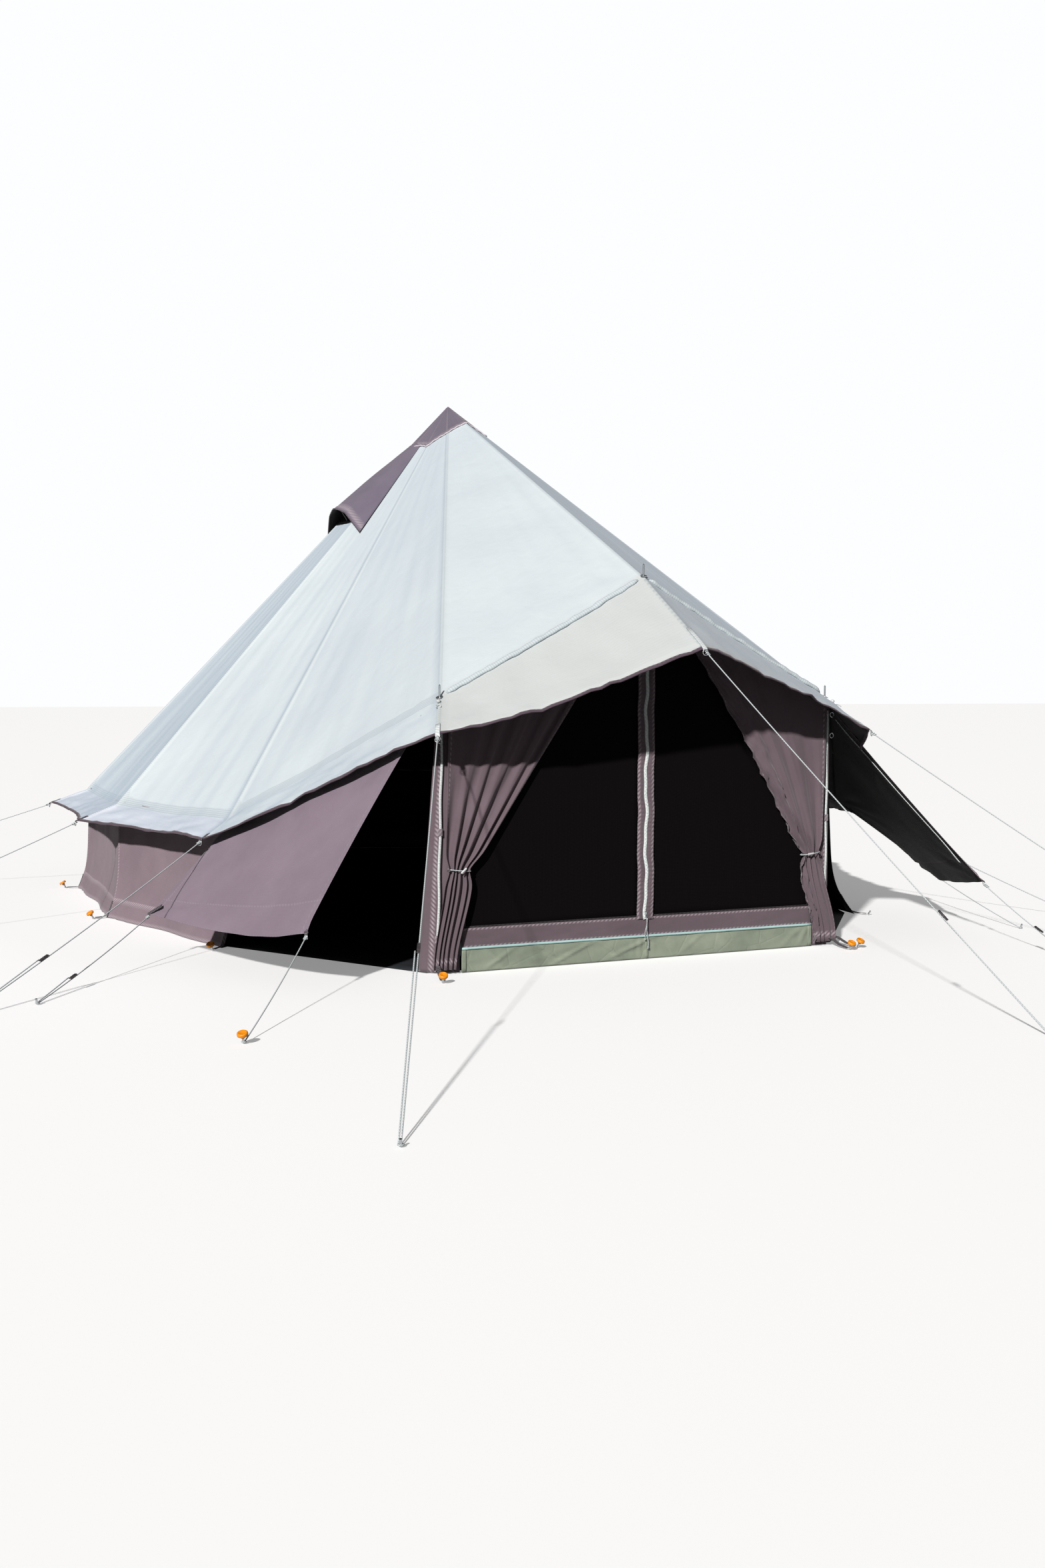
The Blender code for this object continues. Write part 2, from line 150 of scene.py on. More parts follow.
def braided_rope(name, colour, shade):
    """Braided polyester: matt, with the diamonds of a 16-strand sheath and their grooves painted darker as shade.

    The real strands repeat every 4 mm along the rope, drawn at 12 mm here so that they show.
    """
    finish, tree, shader = new_finish(name, colour, 0.75)
    shader.inputs["Sheen Weight"].default_value = 0.25
    place = add_node(tree, "ShaderNodeUVMap", {"uv_map": "cloth"})
    split = add_node(tree, "ShaderNodeSeparateXYZ", None, {0: place.outputs[0]})
    around = add_node(tree, "ShaderNodeMath", {"operation": "MULTIPLY", 1: 2 * math.tau}, {0: split.outputs[0]})
    along = add_node(tree, "ShaderNodeMath", {"operation": "MULTIPLY", 1: math.tau / 0.012}, {0: split.outputs[1]})
    rises = []
    for operation in ("ADD", "SUBTRACT"):
        lean = add_node(tree, "ShaderNodeMath", {"operation": operation}, {0: along.outputs[0], 1: around.outputs[0]})
        rises.append(add_node(tree, "ShaderNodeMath", {"operation": "SINE"}, {0: lean.outputs[0]}))
    braid = add_node(
        tree, "ShaderNodeMath", {"operation": "MAXIMUM"}, {0: rises[0].outputs[0], 1: rises[1].outputs[0]}
    )
    # painted shade: the low parts of the braid, the grooves between the strands, take the darker colour
    tint = add_node(
        tree, "ShaderNodeMix", {"data_type": "RGBA", 6: linear(shade), 7: linear(colour)}, {0: braid.outputs[0]}
    )
    tree.links.new(tint.outputs[2], shader.inputs["Base Color"])
    bump = add_node(tree, "ShaderNodeBump", {"Strength": 0.5, "Distance": 0.0006}, {"Height": braid.outputs[0]})
    tree.links.new(bump.outputs["Normal"], shader.inputs["Normal"])
    return finish


ROPE_FINISH = braided_rope("braided_polyester_rope", "#D8DEDF", "#9FA8AB")


def loft(name, rings, finish, closed=False, metres=True, marks=None, smooth=True):
    """A closed skin through rings of places, capped at its ends, with a map along it in metres."""
    shape = bmesh.new()
    chart = shape.loops.layers.uv.new("cloth")
    layers = {mark: shape.verts.layers.float.new(mark) for mark in (marks or {})}
    grid = [[shape.verts.new(place) for place in ring] for ring in rings]
    for mark, layer in layers.items():
        for ring in grid:
            for vert, value in zip(ring, marks[mark]):
                vert[layer] = value
    sides = len(rings[0])
    around = [0.0]
    for first, second in zip(rings[0], rings[0][1:] + rings[0][:1]):
        around.append(around[-1] + (second - first).length)
    if not metres:
        around = [reach / around[-1] for reach in around]
    run = [0.0]
    for first, second in zip(rings, rings[1:] + rings[:1]):
        run.append(run[-1] + (second[0] - first[0]).length)
    count = len(rings)
    for first in range(count if closed else count - 1):
        second = (first + 1) % count
        for step in range(sides):
            after = (step + 1) % sides
            face = shape.faces.new((grid[first][step], grid[first][after], grid[second][after], grid[second][step]))
            face.smooth = smooth
            spots = ((step, first), (step + 1, first), (step + 1, first + 1), (step, first + 1))
            for loop, (across, along) in zip(face.loops, spots):
                loop[chart].uv = (around[across], run[along])
    if not closed:
        shape.faces.new(grid[0][::-1])
        shape.faces.new(grid[-1])
    bmesh.ops.recalc_face_normals(shape, faces=shape.faces)
    data = bpy.data.meshes.new(name)
    shape.to_mesh(data)
    shape.free()
    data.materials.append(finish)
    return link_object(name, data)


def tube_mesh(name, route, radius, sides, finish, closed=False):
    """A round cord or tube along a route."""
    rings = []
    side = None
    count = len(route)
    for spot in range(count):
        before = route[spot - 1] if closed or spot else route[0]
        after = route[(spot + 1) % count] if closed or spot < count - 1 else route[-1]
        along = (after - before).normalized()
        if side is None:
            side = along.cross(Vector((0, 0, 1)) if abs(along.z) < 0.9 else Vector((1, 0, 0)))
        side = (side - along * side.dot(along)).normalized()
        up = along.cross(side)
        turns = [math.tau * step / sides for step in range(sides)]
        rings.append([route[spot] + (side * math.cos(turn) + up * math.sin(turn)) * radius for turn in turns])
    return loft(name, rings, finish, closed=closed, metres=False)


def rope_place(start, end, part):
    """A place along a taut rope that sags slightly under its own weight."""
    sag = ROPE_SAG * 4 * part * (1 - part)
    return start.lerp(end, part) - Vector((0, 0, sag))


def route_length(route):
    return sum((second - first).length for first, second in zip(route, route[1:]))


def hoop(middle, across, up, count):
    """Places evenly round a closed hoop, from its middle and its two half widths."""
    swings = [math.tau * step / count for step in range(count)]
    return [middle + across * math.cos(swing) + up * math.sin(swing) for swing in swings]


# name: the body it rides, its two ends, and where its tensioner sits along it
GUY_ROPES = {
    "guy_rear_left": ("tent", (-2.3586, 0.7664, 0.532), (-4.02, 1.30, 0.006), 0.0),
    "guy_flank_left": ("tent", (-2.3182, -0.6212, 0.532), (-3.72, -1.16, 0.006), 0.0),
    "guy_side_left": ("tent", (-1.8668, -1.8668, 0.532), (-2.94, -2.92, 0.006), 0.70),
    "guy_door_left": ("tent", (-1.07, -2.96, 1.042), (-1.85, -4.96, 0.006), 0.62),
    "guy_peak": ("tent", (0.0, -3.29, 1.402), (0.66, -4.64, 0.006), 0.72),
    "guy_door_right": ("tent", (1.07, -2.96, 1.042), (2.25, -4.00, 0.006), 0.0),
    "guy_side_right": ("tent", (1.8668, -1.8668, 0.532), (2.77, -2.50, 0.006), 0.0),
    "panel_guy_tall_left": ("guy_tall_left", (-1.642, -3.0123, 0.2536), (-2.02, -3.66, 0.006), 0.0),
    "panel_guy_short_left": ("guy_short_left", (-2.1169, -1.9388, 0.2063), (-2.65, -2.73, 0.006), 0.72),
    "panel_guy_tall_right": ("guy_tall_right", (1.6959, -3.0255, 0.2986), (1.80, -3.55, 0.006), 0.60),
    "panel_guy_short_right": ("guy_short_right", (2.1539, -1.9407, 0.2496), (2.19, -2.72, 0.006), 0.0),
}
RUNNER_OF = {
    "guy_side_left": ("runner_side_left", "runner_side"),
    "guy_door_left": ("runner_door_left", "runner_door"),
    "guy_peak": ("runner_peak", "runner_peak"),
    "panel_guy_short_left": ("runner_panel_left", "runner_panel_left"),
    "panel_guy_tall_right": ("runner_panel_right", "runner_panel_right"),
}
STRAND_GAP = 0.011
STRAND_STEPS = 22
RUNNER_LIFT = 0.008
HEADED_ROPE_PEG = "panel_guy_tall_left"
KNOT_ROUND = 0.0052
KNOT_STEPS = 33
LOOP_ROUND = 0.0078


def strand_shift(start, end, part):
    """How far the returning strand lies beside the main one: out to the tensioner, in at the peg."""
    flat = Vector((end.y - start.y, start.x - end.x, 0.0)).normalized()
    return flat * STRAND_GAP * (1.0 - 0.35 * part) + Vector((0, 0, RUNNER_LIFT * (1.0 - part)))


# The peg: a steel pin with a round orange nylon head, driven home so that only the
# head and a short neck stand clear of the ground, leaning away from the tent.
PEG_HEAD = 0.020
PEG_HEAD_THICK = 0.011
PEG_NECK = 0.0045
PEG_CLEAR = 0.024


def moulded_nylon(name, colour, worn, roughness=0.42):
    """Injection-moulded nylon: an even sheen, faintly mottled, scuffed paler."""
    finish, tree, shader = new_finish(name, colour, roughness)
    shader.inputs["IOR"].default_value = 1.53
    place = add_node(tree, "ShaderNodeTexCoord")
    cloud = add_node(
        tree, "ShaderNodeTexNoise", {"Scale": 90.0, "Detail": 4.0}, {"Vector": place.outputs["Object"]}
    )
    scuff = add_node(
        tree, "ShaderNodeMapRange", {"From Min": 0.52, "From Max": 0.75, "To Max": 0.6}, {0: cloud.outputs[0]}
    )
    tint = add_node(
        tree, "ShaderNodeMix", {"data_type": "RGBA", 6: linear(colour), 7: linear(worn)}, {0: scuff.outputs[0]}
    )
    tree.links.new(tint.outputs[2], shader.inputs["Base Color"])
    bump = add_node(tree, "ShaderNodeBump", {"Strength": 0.3, "Distance": 0.0004}, {"Height": cloud.outputs[0]})
    tree.links.new(bump.outputs["Normal"], shader.inputs["Normal"])
    return finish


ORANGE_NYLON = moulded_nylon("moulded_orange_nylon", "#F3930F", "#F9B659")
DARK_NYLON = moulded_nylon("moulded_dark_nylon", "#3B3537", "#6A6264", 0.5)
PALE_NYLON = moulded_nylon("moulded_pale_nylon", "#C9CCCB", "#E4E6E4", 0.45)


def select_faces(piece, test):
    """In edit mode on this piece, selects just the faces that pass."""
    if bpy.context.mode != "OBJECT":
        bpy.ops.object.mode_set(mode="OBJECT")
    bpy.ops.object.select_all(action="DESELECT")
    bpy.context.view_layer.objects.active = piece
    piece.select_set(True)
    bpy.ops.object.mode_set(mode="EDIT")
    bpy.ops.mesh.select_mode(type="FACE")
    bpy.ops.mesh.select_all(action="DESELECT")
    bpy.ops.object.mode_set(mode="OBJECT")
    for face in piece.data.polygons:
        face.select = test(face)
    bpy.ops.object.mode_set(mode="EDIT")


def finish_piece(piece, name, finish, bevel=0.0, smooth=40.0):
    """Back to object mode, a small rounding on the edges, smooth shading and its finish."""
    if bpy.context.mode != "OBJECT":
        bpy.ops.object.mode_set(mode="OBJECT")
    bpy.ops.object.select_all(action="DESELECT")
    bpy.context.view_layer.objects.active = piece
    piece.select_set(True)
    bpy.ops.object.transform_apply(location=True, rotation=True, scale=True)
    if bevel:
        rounding = piece.modifiers.new("rounding", "BEVEL")
        rounding.width = bevel
        rounding.segments = 2
        rounding.limit_method = "ANGLE"
        bpy.ops.object.modifier_apply(modifier="rounding")
    bpy.ops.object.shade_smooth_by_angle(angle=math.radians(smooth))
    piece.name = name
    piece.data.name = name
    piece.data.materials.clear()
    piece.data.materials.append(finish)
    piece.select_set(False)
    return piece


def copy_piece(model, name, turn, place):
    """A copy with its own mesh, turned and set in place in the mesh itself."""
    made = link_object(name, model.data.copy())
    made.data.name = name
    made.data.transform(Matrix.Translation(place) @ turn.to_4x4())
    return made


def join_pieces(pieces, name):
    bpy.ops.object.select_all(action="DESELECT")
    for piece in pieces:
        piece.select_set(True)
    bpy.context.view_layer.objects.active = pieces[0]
    bpy.ops.object.join()
    made = bpy.context.object
    made.name = name
    made.data.name = name
    made.select_set(False)
    return made


bpy.ops.mesh.primitive_cylinder_add(vertices=20, radius=PEG_HEAD, depth=PEG_HEAD_THICK, location=(0, 0, 0))
peg_head = bpy.context.object
select_faces(peg_head, lambda face: face.normal.z > 0.9)
bpy.ops.mesh.inset(thickness=0.0045)
bpy.ops.transform.translate(value=(0, 0, 0.003))
bpy.ops.mesh.inset(thickness=0.0075)
bpy.ops.transform.translate(value=(0, 0, -0.004))
select_faces(peg_head, lambda face: face.normal.z < -0.9)
bpy.ops.mesh.inset(thickness=0.012)
bpy.ops.mesh.extrude_region_move(TRANSFORM_OT_translate={"value": (0, 0, -0.010)})
peg_head = finish_piece(peg_head, "peg_head", ORANGE_NYLON, 0.002)

STEEL_WIRE, wire_tree, wire_shader = new_finish("zinc_plated_wire", "#B9BCBE", 0.32, 1.0)
wire_place = add_node(wire_tree, "ShaderNodeTexCoord")
wire_cloud = add_node(
    wire_tree, "ShaderNodeTexNoise", {"Scale": 140.0, "Detail": 5.0}, {"Vector": wire_place.outputs["Object"]}
)
wire_dull = add_node(
    wire_tree, "ShaderNodeMapRange", {"To Min": 0.25, "To Max": 0.5}, {0: wire_cloud.outputs[0]}
)
wire_tree.links.new(wire_dull.outputs[0], wire_shader.inputs["Roughness"])
wire_tint = add_node(
    wire_tree, "ShaderNodeMix",
    {"data_type": "RGBA", 6: linear("#8F9295"), 7: linear("#D2D5D6")}, {0: wire_cloud.outputs[0]},
)
wire_tree.links.new(wire_tint.outputs[2], wire_shader.inputs["Base Color"])

bpy.ops.mesh.primitive_cylinder_add(vertices=12, radius=PEG_NECK, depth=PEG_CLEAR, location=(0, 0, 0))
peg_neck = bpy.context.object
select_faces(peg_neck, lambda face: face.normal.z < -0.9)
bpy.ops.mesh.extrude_region_move(TRANSFORM_OT_translate={"value": (0, 0, -0.002)})
bpy.ops.transform.resize(value=(0.6, 0.6, 1.0))
peg_neck = finish_piece(peg_neck, "peg_neck", STEEL_WIRE, 0.0006)


def ground_peg(name, foot, lean, body, headed=True):
    """A peg whose neck leaves the ground at foot, tipped by lean, a short flat direction.

    Most ropes are held by the bare pin, without the moulded head.
    """
    axis = Vector((lean.x, lean.y, 1.0)).normalized()
    turn = axis.to_track_quat("Z", "Y").to_matrix()
    neck = copy_piece(peg_neck, name + "_neck", turn, foot + axis * (PEG_CLEAR * 0.5 + 0.004))
    parts = [neck]
    if headed:
        parts.insert(0, copy_piece(peg_head, name + "_head", turn, foot + axis * (PEG_CLEAR + 0.016)))
    lowest = min(point.co.z for point in neck.data.vertices)
    for part in parts:
        part.data.transform(Matrix.Translation((0, 0, 0.0008 - lowest)))
    peg = join_pieces(parts, name)
    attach(peg, body)
    return peg


# The tensioner: a flat moulded bar with a hole near each end, 50 x 16 x 8 mm.
RUNNER_LONG, RUNNER_WIDE, RUNNER_THICK = 0.050, 0.016, 0.0075
RUNNER_HOLE_AT = 0.0187


def round_a_hole(face):
    """Whether a face of the bar lies round one of its two rope holes."""
    near_hole = abs(abs(face.center.x) - RUNNER_HOLE_AT) < 0.008 and abs(face.center.y) < 0.006
    return abs(face.normal.z) > 0.6 and near_hole


bpy.ops.mesh.primitive_cube_add(size=1.0, location=(0, 0, 0))
runner_bar = bpy.context.object
runner_bar.data.transform(Matrix.Diagonal((RUNNER_LONG, RUNNER_WIDE, RUNNER_THICK, 1.0)))
select_faces(runner_bar, lambda face: abs(face.normal.x) > 0.9)
bpy.ops.transform.resize(value=(1.0, 0.72, 0.8))
select_faces(runner_bar, lambda face: True)
bpy.ops.mesh.subdivide(number_cuts=3)
select_faces(runner_bar, round_a_hole)
bpy.ops.mesh.inset(thickness=0.0012)
bpy.ops.transform.resize(value=(1.0, 1.0, 0.35))
runner_bar = finish_piece(runner_bar, "runner_bar", DARK_NYLON, 0.0012, 50.0)

for name, (body, start, end, runner_part) in GUY_ROPES.items():
    start = Vector(start)
    end = Vector(end)
    route = [rope_place(start, end, step / ROPE_STEPS) for step in range(ROPE_STEPS + 1)]
    main = tube_mesh(name + "_rope", route, ROPE_THICK / 2, ROPE_SIDES, ROPE_FINISH)
    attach(main, body)
    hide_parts(name)
    outward = (end - start).normalized()
    flat_out = Vector((outward.x, outward.y, 0.0)).normalized()

    # a bowline at the tent, made of a close figure of turns round the rope
    knot_middle = rope_place(start, end, 0.0) + outward * 0.022
    side = outward.cross(Vector((0, 0, 1))).normalized()
    up = side.cross(outward)
    turns = []
    for step in range(KNOT_STEPS + 1):
        swing = math.tau * 2.5 * step / KNOT_STEPS
        turns.append(
            knot_middle + outward * (-0.012 + 0.024 * step / KNOT_STEPS)
            + side * math.cos(swing) * KNOT_ROUND + up * math.sin(swing) * KNOT_ROUND
        )
    knot = tube_mesh(name + "_knot", turns, 0.0021, 6, ROPE_FINISH)
    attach(knot, body)

    # the loop round the neck of the peg
    peg_foot = Vector((end.x, end.y, 0.0)) + flat_out * 0.008
    loop_middle = peg_foot + Vector((0, 0, 0.0075))
    around = hoop(loop_middle, Vector((LOOP_ROUND, 0, 0)), Vector((0, LOOP_ROUND, 0)), 18)
    loop = tube_mesh(name + "_peg_loop", around, 0.0024, 6, ROPE_FINISH, closed=True)
    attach(loop, body)
    peg = ground_peg(name + "_peg", peg_foot, flat_out * 0.35, body, headed=name == HEADED_ROPE_PEG)

    if runner_part:
        runner_node, runner_body = RUNNER_OF[name]
        centre = (Vector(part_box("runner_" + name)[0]) + Vector(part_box("runner_" + name)[1])) / 2
        along = (end - start - Vector((0, 0, ROPE_SAG * 4 * (1 - 2 * runner_part)))).normalized()
        bar_turn = along.to_track_quat("X", "Z").to_matrix()
        bar = copy_piece(runner_bar, runner_node, bar_turn, centre)
        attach(bar, runner_body)
        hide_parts("runner_" + name)
        first = runner_part + 0.02 / (end - start).length
        back = []
        for step in range(STRAND_STEPS + 1):
            part = first + (1.0 - first) * step / STRAND_STEPS
            share = step / STRAND_STEPS
            back.append(rope_place(start, end, part) + strand_shift(start, end, share))
        back[-1] = back[-1] + Vector((0, 0, 0.002))
        strand = tube_mesh(name + "_return", back, ROPE_THICK / 2, ROPE_SIDES, ROPE_FINISH)
        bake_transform(strand)

bpy.data.objects.remove(runner_bar)


# ---------------------------------------------------------------- roof
# One skin of polycotton canvas, its inside painted near-black as shade: twelve gores felled together on raised
# seams, held out by the poles and the guy ropes. It sags between its seams, and its hem
# hollows between its corners.
WALL_HEIGHT = 0.62
WALL_CORNERS = ((45.0, 2.42), (75.0, 2.18), (108.0, 2.26), (143.0, 2.32))
BACK_CORNER = (180.0, 2.35)
APEX = Vector((0.0, 0.0, 3.0))
PEAK = Vector((0.0, -2.72, 1.75))
PEAK_TIP = Vector((0.0, -3.29, 1.41))
ROOF_CLOTH_THICK = 0.0016
PUCKER_REACH = 0.62
ROOF_PUCKER_DEEP = 0.0060
SOFT_WAVE, FINE_WAVE, CRINKLE_WAVE = 0.008, 0.0042, 0.0055


def plan_place(corner, side, out, height):
    """A place at a corner's bearing from the door, out beyond its reach, on one side of the tent."""
    turn = math.radians(corner[0])
    reach = corner[1] + out
    return Vector((side * reach * math.sin(turn), -reach * math.cos(turn), height))


def roof_side(side):
    """Wall-line place and eave tip of each roof corner on one side, from the door to the back."""
    places = [(Vector((side * 0.98, -2.72, 1.20)), Vector((side * 1.07, -2.96, 1.05)))]
    for corner in WALL_CORNERS:
        places.append((plan_place(corner, side, 0.0, WALL_HEIGHT), plan_place(corner, side, 0.22, 0.54)))
    return places


ROOF_RING = [(PEAK, PEAK_TIP)] + roof_side(1)
ROOF_RING.append((plan_place(BACK_CORNER, 1, 0.0, WALL_HEIGHT), plan_place(BACK_CORNER, 1, 0.22, 0.54)))
ROOF_RING += roof_side(-1)[::-1]
GORES = len(ROOF_RING)
# Each gore, counted from the front right round over the back to the front left: its sag
# at the wall line, how far its hem is drawn up, and how far its hem hangs down, in metres
GORE_SHAPE = [
    (0.006, 0.10, -0.012), (0.004, 0.16, 0.0), (0.030, 0.20, 0.006), (0.026, 0.18, 0.004),
    (0.030, 0.20, 0.006), (0.032, 0.20, 0.006), (0.032, 0.20, 0.006), (0.030, 0.20, 0.006),
    (0.024, 0.16, 0.004), (0.024, 0.16, 0.004), (0.004, 0.06, 0.010), (0.008, 0.03, 0.034),
]


def puckers(place, anchor, reach, deep, count, tilt=0.0):
    """Small folds that fan out of a place where cloth is held."""
    away = place - anchor
    far = away.length
    if far > reach or far < 1e-5:
        return 0.0
    swing = math.atan2(away.z * 1.3 + away.y * 0.4, away.x + away.y * 0.7) + tilt
    rise = min(1.0, far / 0.06) * (1.0 - far / reach) ** 1.5
    return deep * rise * math.sin(swing * count) * (0.6 + 0.4 * math.sin(swing * count * 0.37 + 1.0))


def roof_spot(gore, across, down, lift=0.0):
    """A place on the roof: across from seam to seam, down from the apex (0) to the wall (1) and hem (2)."""
    first, first_tip = ROOF_RING[gore % GORES]
    second, second_tip = ROOF_RING[(gore + 1) % GORES]
    sag, drawn, hang = GORE_SHAPE[gore % GORES]
    belly = 4.0 * across * (1.0 - across)
    out = (second - APEX).cross(first - APEX).normalized()
    if out.z < 0:
        out = -out
    if down <= 1.0:
        spot = APEX.lerp(first, down).lerp(APEX.lerp(second, down), across)
        spot = spot - out * sag * belly * down ** 1.5
    else:
        share = (down - 1.0) * (1.0 - drawn * belly)
        spot = first.lerp(second, across).lerp(first_tip.lerp(second_tip, across), share)
        spot = spot - out * sag * belly
        spot.z -= hang * belly * (down - 1.0)
    ruffle = 0.0
    for held in (first, second, first_tip, second_tip):
        ruffle += puckers(spot, held, PUCKER_REACH, ROOF_PUCKER_DEEP, 13)
    soft = noise.noise(Vector((spot.x * 2.1, spot.y * 2.1, spot.z * 1.1)))
    soft += 0.5 * noise.noise(Vector((across * 9.0 + gore * 5.0, down * 1.6, 3.7)))
    fine = noise.noise(Vector((across * 26.0 + gore * 3.0, down * 2.3, 9.1)))
    calm = min(1.0, belly * 2.2)
    crinkle = noise.noise(Vector((across * 14.0 + gore * 2.0 + down * 3.0, down * 4.0 - across * 2.0, 5.3)))
    ruffle += calm * down * (SOFT_WAVE * soft + FINE_WAVE * fine + CRINKLE_WAVE * crinkle)
    return spot + out * (ruffle + lift)


def polycotton(name, light, shade, porch_shade_colour, over):
    """Woven polycotton canvas, matt with a faint nap and a soft fade between gores. The porch gores are painted
    darker as shade, the eave band paler and bluer as painted light, faces at a glancing angle bluer as a painted sky
    reflection, and a faint painted shade line runs beside the seams.

    Real threads are 0.5 mm apart. The plain weave is drawn at 7 mm so that it shows.
    """
    finish, tree, shader = new_finish(name, light, 0.88)
    shader.inputs["Specular IOR Level"].default_value = 0.25
    shader.inputs["Sheen Weight"].default_value = 0.18
    shader.inputs["Sheen Roughness"].default_value = 0.6
    place = add_node(tree, "ShaderNodeTexCoord")
    chart = add_node(tree, "ShaderNodeUVMap", {"uv_map": "cloth"})
    waves = []
    for direction in ("X", "Y"):
        waves.append(add_node(
            tree, "ShaderNodeTexWave",
            {"bands_direction": direction, "wave_profile": "SIN", "Scale": math.tau / 20 / 0.007, "Distortion": 0.6,
             "Detail Scale": 3.0},
            {"Vector": chart.outputs[0]},
        ))
    weave = add_node(
        tree, "ShaderNodeMath", {"operation": "MULTIPLY"}, {0: waves[0].outputs[1], 1: waves[1].outputs[1]}
    )
    fade = add_node(
        tree, "ShaderNodeTexNoise", {"Scale": 1.6, "Detail": 5.0, "Roughness": 0.6},
        {"Vector": place.outputs["Object"]},
    )
    soft = add_node(
        tree, "ShaderNodeMapRange", {"From Min": 0.32, "From Max": 0.68}, {0: fade.outputs[0]}
    )
    base = add_node(
        tree, "ShaderNodeMix", {"data_type": "RGBA", 6: linear(shade), 7: linear(light)}, {0: soft.outputs[0]}
    )
    # painted shade: the porch gores are toned darker and greyer than the rest of the same canvas
    porch = add_node(tree, "ShaderNodeAttribute", {"attribute_name": "porch"})
    porch_shaded = add_node(
        tree, "ShaderNodeMix", {"data_type": "RGBA", 7: linear(porch_shade_colour)}, {0: porch.outputs["Fac"], 6: base.outputs[2]}
    )
    # painted light: the eave band beyond the walls is toned paler and bluer than the rest of the canvas
    eave = add_node(tree, "ShaderNodeAttribute", {"attribute_name": "overhang"})
    eave_painted_light = add_node(
        tree, "ShaderNodeMix", {"data_type": "RGBA", 7: linear(over)}, {0: eave.outputs["Fac"], 6: porch_shaded.outputs[2]}
    )
    # the seam marks: dashes of sewing thread, with a faint painted shade line along the edge of each raised seam and
    # along the wall seam
    fell = add_node(tree, "ShaderNodeAttribute", {"attribute_name": "seam"})
    line = add_node(
        tree, "ShaderNodeMapRange",
        {"From Min": 0.0085, "From Max": 0.0145, "To Min": 1.0, "To Max": 0.0}, {0: fell.outputs["Fac"]},
    )
    stitch = add_node(
        tree, "ShaderNodeTexWave",
        {"bands_direction": "Y", "Scale": math.tau / 20 / 0.012, "Distortion": 0.0}, {"Vector": chart.outputs[0]},
    )
    dashes = add_node(
        tree, "ShaderNodeMapRange", {"To Min": 0.10, "To Max": 0.42}, {0: stitch.outputs[1]}
    )
    dark = add_node(
        tree, "ShaderNodeMath", {"operation": "MULTIPLY"}, {0: line.outputs[0], 1: dashes.outputs[0]}
    )
    sewn = add_node(
        tree, "ShaderNodeMix", {"data_type": "RGBA", 7: linear("#8E9A9F")}, {0: dark.outputs[0], 6: eave_painted_light.outputs[2]}
    )
    thread = add_node(
        tree, "ShaderNodeMapRange", {"To Min": 0.965, "To Max": 1.02}, {0: weave.outputs[0]}
    )
    toned = add_node(
        tree, "ShaderNodeVectorMath", {"operation": "SCALE"}, {0: sewn.outputs[2], "Scale": thread.outputs[0]}
    )
    # painted reflection: faces seen at a glancing angle are tinted pale blue, standing for the sky's sheen
    glance = add_node(tree, "ShaderNodeLayerWeight", {"Blend": 0.25})
    edge = add_node(
        tree, "ShaderNodeMapRange", {"From Min": 0.28, "From Max": 0.75, "To Max": 0.75},
        {0: glance.outputs["Facing"]},
    )
    painted_sky_sheen = add_node(
        tree, "ShaderNodeMix", {"data_type": "RGBA", 7: linear("#A7BACD")}, {0: edge.outputs[0], 6: toned.outputs[0]}
    )
    tree.links.new(painted_sky_sheen.outputs[2], shader.inputs["Base Color"])
    rub = add_node(
        tree, "ShaderNodeMapRange", {"To Min": 0.80, "To Max": 0.95}, {0: fade.outputs[0]}
    )
    tree.links.new(rub.outputs[0], shader.inputs["Roughness"])
    creases = add_node(
        tree, "ShaderNodeTexNoise", {"Scale": 9.0, "Detail": 6.0, "Roughness": 0.55, "Distortion": 0.4},
        {"Vector": place.outputs["Object"]},
    )
    coarse = add_node(
        tree, "ShaderNodeBump", {"Strength": 0.45, "Distance": 0.010}, {"Height": creases.outputs[0]}
    )
    bump = add_node(
        tree, "ShaderNodeBump", {"Strength": 0.28, "Distance": 0.0008},
        {"Height": weave.outputs[0], "Normal": coarse.outputs["Normal"]},
    )
    tree.links.new(bump.outputs["Normal"], shader.inputs["Normal"])
    return finish


# painted light and shade: the third colour darkens the porch gores, the fourth lightens the eave band beyond the
# walls
CANVAS = polycotton("polycotton_canvas", "#D6DEE0", "#CED6DA", "#C5C9C8", "#DCE0EA")


